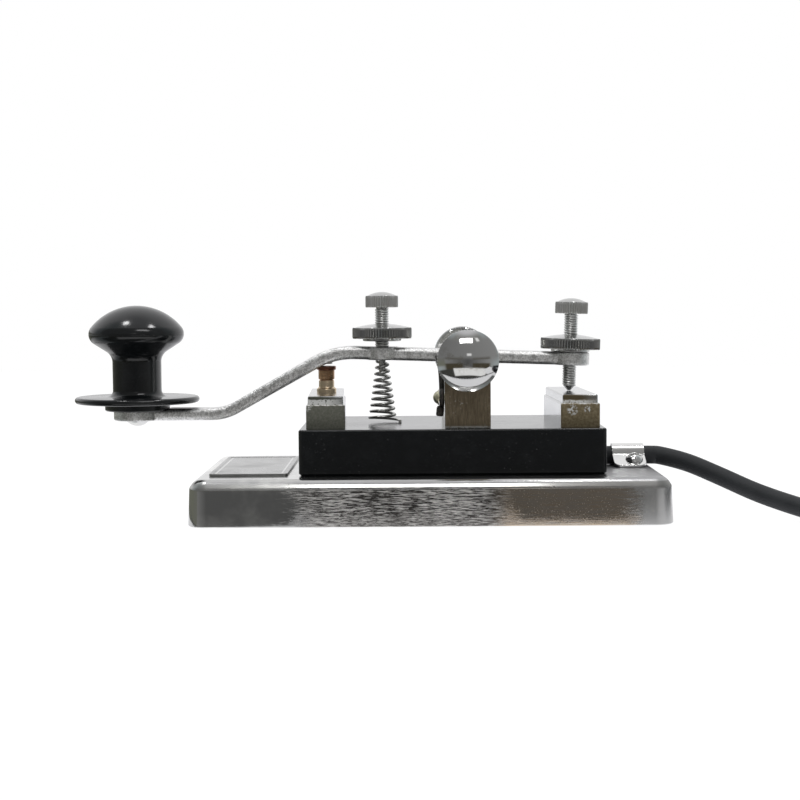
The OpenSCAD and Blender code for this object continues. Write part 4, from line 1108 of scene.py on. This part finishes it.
def makeKnob(facts):
    low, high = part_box("knob")
    bottom = low.z / mm
    x = (low.x + high.x) / 2 / mm
    edge, slope, fillet, foot = (facts[k] for k in ("edge", "slope", "fillet", "foot"))
    wideZ = facts["height"] - facts["crown"]
    offset = facts["radius"] - edge
    crownR = ((offset ** 2 + facts["crown"] ** 2 - edge ** 2)
              / (2 * (facts["crown"] - edge)))
    join = math.degrees(math.atan2(wideZ - (facts["height"] - crownR), offset))
    tilt = math.radians(slope)
    endX, endZ = offset + edge * math.sin(tilt), wideZ - edge * math.cos(tilt)
    filletX = facts["neck"] + fillet
    slide = (endX - filletX + fillet * math.sin(tilt)) / math.cos(tilt)
    filletZ = endZ - slide * math.sin(tilt) - fillet * math.cos(tilt)
    half = facts["plateThick"] / 2
    plateZ = facts["collarHeight"] + half
    plateTop = facts["collarHeight"] + facts["plateThick"]
    profile = [(0, 0), (facts["collar"] - 0.3, 0), (facts["collar"], 0.3),
               (facts["collar"], facts["collarHeight"] - 0.15),
               (facts["collar"] + 0.15, facts["collarHeight"])]
    profile += arc((facts["plate"] - half, plateZ), half, -90, 90, 16)
    profile += arc((facts["neck"] + foot, plateTop + foot), foot, -90, -180, 10)
    profile += arc((filletX, filletZ), fillet, 180, 90 + slope, 12)
    profile += arc((offset, wideZ), edge, slope - 90, -1.5, 10)
    # Parting line of the mould
    seam = facts["radius"]
    profile += [(seam - 0.02, wideZ - 0.04), (seam - 0.07, wideZ), (seam - 0.02, wideZ + 0.05)]
    profile += arc((offset, wideZ), edge, 1.5, join, 10)
    profile += arc((0, facts["height"] - crownR), crownR, join, 90, 28)
    profile[-1] = (0, facts["height"])
    knob = turned("knob", "key_lever", profile, axisAt((x, 0, bottom)), knobBakelite, 128, 30)
    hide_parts("knob")


makeKnob(knobFacts)


# Knob screw: a domed head under the lever, its shank up into the knob
knobScrewFacts = {"head": 3.4, "headHeight": 1.7, "shank": 2.0, "length": 12}


def makeKnobScrew(facts):
    low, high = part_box("knob_screw")
    x, r, h = (low.x + high.x) / 2 / mm, facts["head"], facts["headHeight"]
    ball = (r * r + h * h) / (2 * h)
    angle = math.degrees(math.asin(r / ball))
    profile = [(px, pz - h) for px, pz in arc((0, ball), ball, -90, -90 + angle, 12)]
    profile += [(facts["shank"], 0), (facts["shank"], facts["length"]), (0, facts["length"])]
    screw = turned("knobScrew", "key_lever", profile, axisAt((x, 0, low.z / mm + h)),
                   brightPlating, 64)
    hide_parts("knob_screw")


makeKnobScrew(knobScrewFacts)
print("lever and knob made")

# Adjusting screws and lock nuts: turned bodies, knurled rims and threads
turnFacts = {"headRadius": 4.65, "headRim": 3.3, "headDome": 1.1, "headTeeth": 38,
             "nutRadius": 8.45, "nutRim": 3.1, "nutDome": 1.1, "nutTeeth": 64,
             "hubRadius": 5.5, "hubHeight": 0.7, "bore": 2.05, "tooth": 0.4, "headTooth": 0.34,
             "pitch": 0.7, "core": 1.65, "threadDepth": 0.35, "springLength": 14.9,
             "spigot": 0.95, "spigotLength": 4.5, "springGap": 1.65, "gapLength": 21.8,
             "gapPoint": 0.5, "gapPointHeight": 1.3, "plateTop": 34.3, "tipGap": 0.1,
             "chamfer": 0.1, "underHead": 0.3, "aboveTip": 0.2}


def domeArc(radius, rise, base, steps=12):
    ball = (radius ** 2 + rise ** 2) / (2 * rise)
    angle = math.degrees(math.asin(radius / ball))
    points = arc((0, base + rise - ball), ball, 90 - angle, 90, steps)
    return [*points[:-1], (0, base + rise)]


# Knurled teeth round a rim whose middle stands at a point
def knurl(name, body, root, depth, height, chamfer, teeth, material, middle, along):
    ring = grown(name + "Knurl", body, teethNodes,
                 {"Root Radius": root * mm, "Depth": depth * mm, "Height": height * mm,
                  "Chamfer": chamfer * mm, "Teeth": teeth}, material, axisMetres(middle, along))


# The head's underside stands at top; the thread ends short of the tip's last point
def makeScrew(name, node, body, facts, top, along, length, tip):
    root = facts["headRadius"] - facts["headTooth"]
    rim, chamfer = facts["headRim"], facts["chamfer"]
    profile = [(0, -length), *tip, (facts["core"], 0), (root - chamfer, 0), (root, chamfer),
               (root, rim - chamfer), (root - chamfer, rim)]
    profile += domeArc(root - 0.2, facts["headDome"], rim)
    screw = turned(name, body, profile, axisAt(top, along), nutPlating, 72)
    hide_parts(node)
    middle = Vector(top) + Vector(along).normalized() * rim / 2
    knurl(name, body, root, facts["headTooth"], rim - 0.04, chamfer, facts["headTeeth"],
          headPlating, middle, along)
    threadLength = -tip[-1][1] - (facts["underHead"] + facts["aboveTip"])
    foot = Vector(top) - Vector(along).normalized() * (threadLength + facts["underHead"])
    thread = grown(name + "Thread", body, threadNodes,
                   {"Core Radius": facts["core"] * mm, "Depth": facts["threadDepth"] * mm,
                    "Height": threadLength * mm, "Pitch": facts["pitch"] * mm, "Steps": 36},
                   headPlating, axisMetres(foot, along), 50)


def makeNut(name, node, body, facts, seat, along):
    root = facts["nutRadius"] - facts["tooth"]
    low, high = facts["hubHeight"], facts["hubHeight"] + facts["nutRim"]
    hub, bore, chamfer = facts["hubRadius"], facts["bore"], facts["chamfer"]
    profile = [(bore, 0), (hub - 0.15, 0), (hub, 0.15), (hub, low), (root - chamfer, low),
               (root, low + chamfer), (root, high - chamfer), (root - chamfer, high)]
    dome = domeArc(root - 0.2, facts["nutDome"], high, 16)
    profile += [p for p in dome if p[0] > bore + 0.5]
    profile += [(bore + 0.3, dome[-1][1] - 0.05), (bore, dome[-1][1] - 0.3), (bore, 0)]
    nut = turned(name, body, profile, axisAt(seat, along), nutPlating, 96)
    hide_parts(node)
    middle = Vector(seat) + Vector(along).normalized() * (low + high) / 2
    knurl(name, body, root, facts["tooth"], facts["nutRim"] - 0.04, chamfer, facts["nutTeeth"],
          teethPlating, middle, along)


def makeAdjusters(facts, lever):
    x, z = lever["springX"], barZ(lever["springX"])
    length, spigot, core = facts["springLength"], facts["spigotLength"], facts["core"]
    half = lever["thick"] / 2
    tip = [(facts["spigot"] - 0.1, -length - spigot), (facts["spigot"], -length - spigot + 0.1),
           (facts["spigot"], -length), (core, -length), (core, -length + 0.3)]
    makeScrew("springScrew", "spring_screw", "spring_adjuster", facts, (x, 0, z - half + length),
              (0, 0, 1), length + spigot, tip)
    makeNut("springNut", "spring_lock_nut", "spring_nut", facts,
            (x, 0, z + half + facts["springGap"]), (0, 0, 1))
    fall = math.radians(lever["fall"])
    along = Vector((math.sin(fall), 0, math.cos(fall)))
    eye = Vector((lever["gapX"], 0, barZ(lever["gapX"])))
    length = facts["gapLength"]
    tipDrop = (eye.z - facts["plateTop"] - facts["tipGap"]) / math.cos(fall)
    tip = [(facts["gapPoint"], -length), (core, -length + facts["gapPointHeight"])]
    top = tuple(eye + along * (length - tipDrop))
    makeScrew("gapScrew", "gap_screw", "gap_adjuster", facts, top, tuple(along), length, tip)
    makeNut("gapNut", "gap_lock_nut", "gap_nut", facts, tuple(eye + along * (half + 0.1)),
            tuple(along))


makeAdjusters(turnFacts, leverFacts)
print("adjusters made")

# Bearing screws with their domed caps
capFacts = {"radius": 8.4, "rim": 3.1, "dome": 3.4, "lip": 8.32, "tooth": 0.3, "teeth": 64,
            "seat": 22.9, "shank": 2.5, "shankLength": 6.4, "pointSlope": 30}


def makeCap(name, node, body, facts, sign):
    along = (0, sign, 0)
    x, z = leverFacts["pivot"]
    seat = (x, sign * facts["seat"], z)
    root = facts["radius"] - facts["tooth"]
    point = facts["shank"] / math.tan(math.radians(facts["pointSlope"]))
    start = -facts["shankLength"]
    profile = [(0, start - point), (facts["shank"], start), (facts["shank"], 0), (root - 0.3, 0),
               (root, 0.3), (root, facts["rim"] - 0.25), (facts["lip"], facts["rim"])]
    profile += domeArc(facts["lip"], facts["dome"], facts["rim"] + 0.02, 26)
    cap = turned(name, body, profile, axisAt(seat, along), capPlating, 128, 30)
    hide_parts(node)
    middle = Vector(seat) + Vector(along) * facts["rim"] / 2
    knurl(name, body, root, facts["tooth"], facts["rim"] - 0.05, 0.3, facts["teeth"], teethPlating,
          middle, along)


makeCap("frontCap", "bearing_screw_front", "front_bearing", capFacts, -1)
makeCap("backCap", "bearing_screw_back", "back_bearing", capFacts, 1)
print("bearing caps made")

# Return spring: a cone of wire whose ends stand straight, 0.08 short of the tilting lever
springFacts = {"x": -13.1, "bottom": 25.5, "top": 43.39, "curls": 9.5, "wire": 0.85,
               "footRadius": 3.75, "topRadius": 1.5, "flare": 1.3, "start": 350, "rings": 40,
               "drop": 0.33}


def makeSpring(facts):
    wire, curls = facts["wire"], facts["curls"]
    height = facts["top"] - facts["bottom"] - 1.2 * wire
    line = []
    for i in range(int(curls * facts["rings"]) + 1):
        u = i / (curls * facts["rings"])
        radius = (facts["footRadius"] + (facts["topRadius"] - facts["footRadius"]) * u
                  + facts["flare"] * max(0, 1 - u * curls) ** 3)
        a = 2 * math.pi * curls * u + math.radians(facts["start"])
        line.append(Vector((facts["x"] + radius * math.cos(a), radius * math.sin(a),
                            facts["bottom"] + 0.6 * wire + height * u)))
    line = [Vector((line[0].x, line[0].y, facts["bottom"])), *line,
            Vector((line[-1].x, line[-1].y, facts["top"]))]
    spring = tube("returnSpring", "base", line, wire / 2, steel, 12, True)
    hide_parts("return_spring")
    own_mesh(spring)


makeSpring(springFacts)

# Pigtail wire between the lever and the yoke's front arm
pigtailFacts = {"lie": 3.45, "sideY": -18.0, "screwY": -19.8, "z": 33.8, "radius": 0.7,
                "eye": 1.8, "eyeWire": 0.62, "endLean": 6, "strands": 6}


def makePigtail(facts):
    x, y, z = facts["lie"], facts["sideY"], facts["z"]
    route = smoothRoute([(x - 0.6, y - 0.8, z - 4.2), (x, y - 0.2, z - 2.3), (x, y, z),
                         (x, y + 0.4, z + 3), (x - 0.2, y + 2, z + 7), (x - 0.6, y + 5, z + 9.6),
                         (x - 0.8, y + 9, z + 10.6), (x - 0.8, -4.2, z + 10.6)], 8)
    wire = tube("pigtail", "base", route, facts["radius"], sleeving, 14)
    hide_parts("pigtail")
    loop = [Vector((x, py, pz)) for py, pz in arc((facts["screwY"], z), facts["eye"], 0, 360, 32)]
    eye = tube("pigtailEye", "base", loop, facts["eyeWire"], sleeving, 14)
    # The crimped end under the eye, as a lump of bound strands
    foot = route[0] + Vector((0, 0, -1))
    profile = [(0, 0), (0.7, 0), (1.0, 0.25)]
    for i in range(facts["strands"]):
        profile += [(1.12, 0.35 + 0.36 * i), (1.0, 0.53 + 0.36 * i)]
    profile += [(0.95, 2.6), (0.7, 2.8), (0, 2.8)]
    lean = math.radians(facts["endLean"])
    end = turned("pigtailEnd", "base", profile, axisAt(foot, (math.sin(lean), 0, math.cos(lean))),
                 sleeving, 32, 60)


makePigtail(pigtailFacts)
dressedCopy("pigtailScrew", "pigtail_screw", paleBrass, "old_brass", 0.08)
print("spring and pigtail made")

# Stage, in metres: a pale floor. What shows of it in bright metal is a round sheet with a
# notched rim, cut straight at the left, and a small patch by the cord
stageFacts = {"centre": (0.018, 0.115), "radius": 0.177, "back": 0.9, "shadow": 0.14,
              "notch": 0.0065, "rim": 0.003, "left": -0.084, "steps": 90,
              "patch": [(0.069, -0.05, 0), (0.078, -0.1, 0), (0.15, -0.1, 0), (0.15, -0.02, 0)]}


def stagePiece(name, points, faces, material):
    mesh = bpy.data.meshes.new(name)
    mesh.from_pydata(points, [], faces)
    mesh.materials.append(material)
    piece = bpy.data.objects.new(name, mesh)
    scene.collection.objects.link(piece)
    return piece


# Shows only in bright metal
def glossOnly(piece):
    piece.visible_camera = False
    piece.visible_diffuse = False
    piece.visible_shadow = False


# Floor: paper that keeps the key's shadow and otherwise shows white
def makeFloor(facts):
    paper = makeMaterial("floorPaper", {"Base Color": (0.86, 0.86, 0.87, 1), "Roughness": 0.9})
    tree = Tree(paper.node_tree)
    shader = paper.node_tree.nodes["Principled BSDF"]
    seen = tree.add("ShaderNodeLightPath", out=0)
    glow = tree.add("ShaderNodeEmission", None, {"Color": rgba(1.0), "Strength": 1.12})
    both = tree.add("ShaderNodeMixShader", None,
                    [seen * (1 - facts["shadow"]), Wire(tree, shader.outputs[0]), glow])
    paper.node_tree.links.new(both.socket, paper.node_tree.nodes["Material Output"].inputs[0])
    wide = facts["back"]
    floor = stagePiece("floor", [(-wide, -wide, 0), (wide, -wide, 0), (wide, wide, 0),
                                 (-wide, wide, 0)], [(0, 1, 2, 3)], paper)
    floor.visible_glossy = False


def makeSheet(facts):
    (cx, cy), r, steps = facts["centre"], facts["radius"], facts["steps"]
    paper = makeMaterial("sheetPaper", {"Base Color": (0.3, 0.3, 0.3, 1),
                                        "Emission Color": (0.9, 0.9, 0.93, 1),
                                        "Emission Strength": 0.85})
    first = math.asin((facts["left"] - cx) / r)
    points = []
    for i in range(steps + 1):
        a = first + (math.pi / 2 - first) * i / steps
        points.append((cx + r * math.sin(a), cy - r * math.cos(a), 0))
    points += [(cx + r, facts["back"], 0), (facts["left"], facts["back"], 0)]
    glossOnly(stagePiece("floorSheet", points, [tuple(range(len(points)))], paper))
    glossOnly(stagePiece("floorPatch", facts["patch"], [(0, 1, 2, 3)], paper))


# Dark rim of the sheet, with notches; the camera looks past it
def makeRim(facts):
    (cx, cy), r, steps = facts["centre"], facts["radius"], facts["steps"]
    dark = makeMaterial("floorRim", {"Base Color": (0.01, 0.01, 0.01, 1)})
    points, faces = [], []
    count = int(math.pi * r / facts["notch"])
    for i in range(count):
        for share, out in ((0, -0.9), (0.5, -0.9), (0.5, 0.5), (0, 0.5)):
            a = math.pi * ((i + share) / count - 0.5)
            reach = r + facts["rim"] * out
            points.append((cx + reach * math.sin(a), cy - reach * math.cos(a), 0.0002))
        faces.append(tuple(range(4 * i, 4 * i + 4)))
    start = len(points)
    for i in range(steps + 1):
        a = math.pi * (i / steps - 0.5)
        for reach in (r, r + facts["rim"]):
            points.append((cx + reach * math.sin(a), cy - reach * math.cos(a), 0.0001))
        if i:
            k = start + 2 * i
            faces.append((k - 2, k, k + 1, k - 1))
    glossOnly(stagePiece("floorRim", points, faces, dark))


makeFloor(stageFacts)
makeSheet(stageFacts)
makeRim(stageFacts)

# A plain dim room in front, from the far left to the far right, low down and higher up
roomFacts = {"lowSpan": 124, "highSpan": 170,
             "low": [(0.0, (0.25, 0.25, 0.25)), (0.5, (0.1, 0.1, 0.1)), (1.0, (0.3, 0.3, 0.3))],
             "high": [(0.0, (0.2, 0.2, 0.2)), (1.0, (0.3, 0.3, 0.3))]}


# What metal sees, by degrees round and degrees up: white walls behind, grey ones beside, and a
# dim room in front with a pale card low down
def makeWorld(facts):
    world = bpy.data.worlds.new("room")
    scene.world = world
    world.use_nodes = True
    tree = Tree(world.node_tree)
    x, y, z = tree.split(tree.add("ShaderNodeTexCoord", out=0))
    around = x.math("ARCTAN2", y * -1) * (180 / math.pi)
    lift = z.math("ARCSINE") * (180 / math.pi)
    aside = around.math("ABSOLUTE")
    near = tree.mix(aside.step(50, 85), (0.27, 0.27, 0.26), (0.4, 0.44, 0.45))
    walls = tree.mix(aside.step(98, 128), near, (0.94, 0.94, 0.95))
    ceiling = tree.mix(lift.step(58, 80), walls, (0.7, 0.7, 0.72))
    corner = around.band(-112, 52, 4) * lift.band(-4, 9, 3)
    room = tree.mix(corner, ceiling, (0.2, 0.205, 0.17))
    low = tree.add("ShaderNodeValToRGB", {"stops": facts["low"]},
                   {"Fac": around / facts["lowSpan"] + 0.5})
    outer = aside.step(10, 16) * (1 - lift.band(-2.5, 5, 2))
    low = tree.mix(outer, low, (0.075, 0.065, 0.045))
    high = tree.add("ShaderNodeValToRGB", {"stops": facts["high"]},
                    {"Fac": around / facts["highSpan"] + 0.5})
    opening = around.band(0, 62, 5) * (1 - lift.step(0, 11)) * lift.step(-26, -22)
    upper = around.band(0, 88, 5) * lift.band(26, 26, 9)
    front = tree.mix(opening, tree.mix(upper, room, high), low)
    below = lift.step(-20, -23) * (1 - aside.step(80, 95))
    under = tree.mix(below, front, (0.06, 0.06, 0.055))
    card = around.band(8, 48, 2) * lift.band(-30, 10, 0.8)
    spots = (around.band(40, 6, 2) * lift.band(53, 5, 2)
             + around.band(4, 6, 2) * lift.band(15, 3, 1.5))
    seen = tree.mix((card + spots).math("MINIMUM", 1.0), under, (0.98, 0.98, 0.98))
    fromCamera = tree.add("ShaderNodeLightPath", out=0)
    colour = tree.mix(fromCamera, seen, (1, 1, 1))
    background = world.node_tree.nodes["Background"]
    world.node_tree.links.new(colour.socket, background.inputs["Color"])
    background.inputs["Strength"].default_value = 1.0


makeWorld(roomFacts)

# Lamps, in metres, all aimed at the key's middle
aimPoint = Vector((0, 0, 0.03))
lampFacts = [
    {"name": "frontLamp", "place": (-0.0015, -0.14, 0.204), "size": (0.105, 0.046), "glow": 5},
    {"name": "leftLamp", "place": (-0.196, -0.01, 0.5), "size": (0.06, 0.06), "glow": 22},
    {"name": "rightLamp", "place": (0.113, -0.01, 0.5), "size": (0.07, 0.06), "glow": 18}]


def makeLamp(facts):
    data = bpy.data.lights.new(facts["name"], "AREA")
    data.shape = "RECTANGLE"
    data.size, data.size_y = facts["size"]
    data.energy = facts["glow"] * math.pi * data.size * data.size_y
    lamp = bpy.data.objects.new(facts["name"], data)
    scene.collection.objects.link(lamp)
    lamp.location = facts["place"]
    lamp.rotation_euler = (aimPoint - lamp.location).to_track_quat("-Z", "Y").to_euler()
    lamp.visible_camera = False


for facts in lampFacts:
    makeLamp(facts)

scene.view_settings.view_transform = "Standard"
print("stage and lamps set")
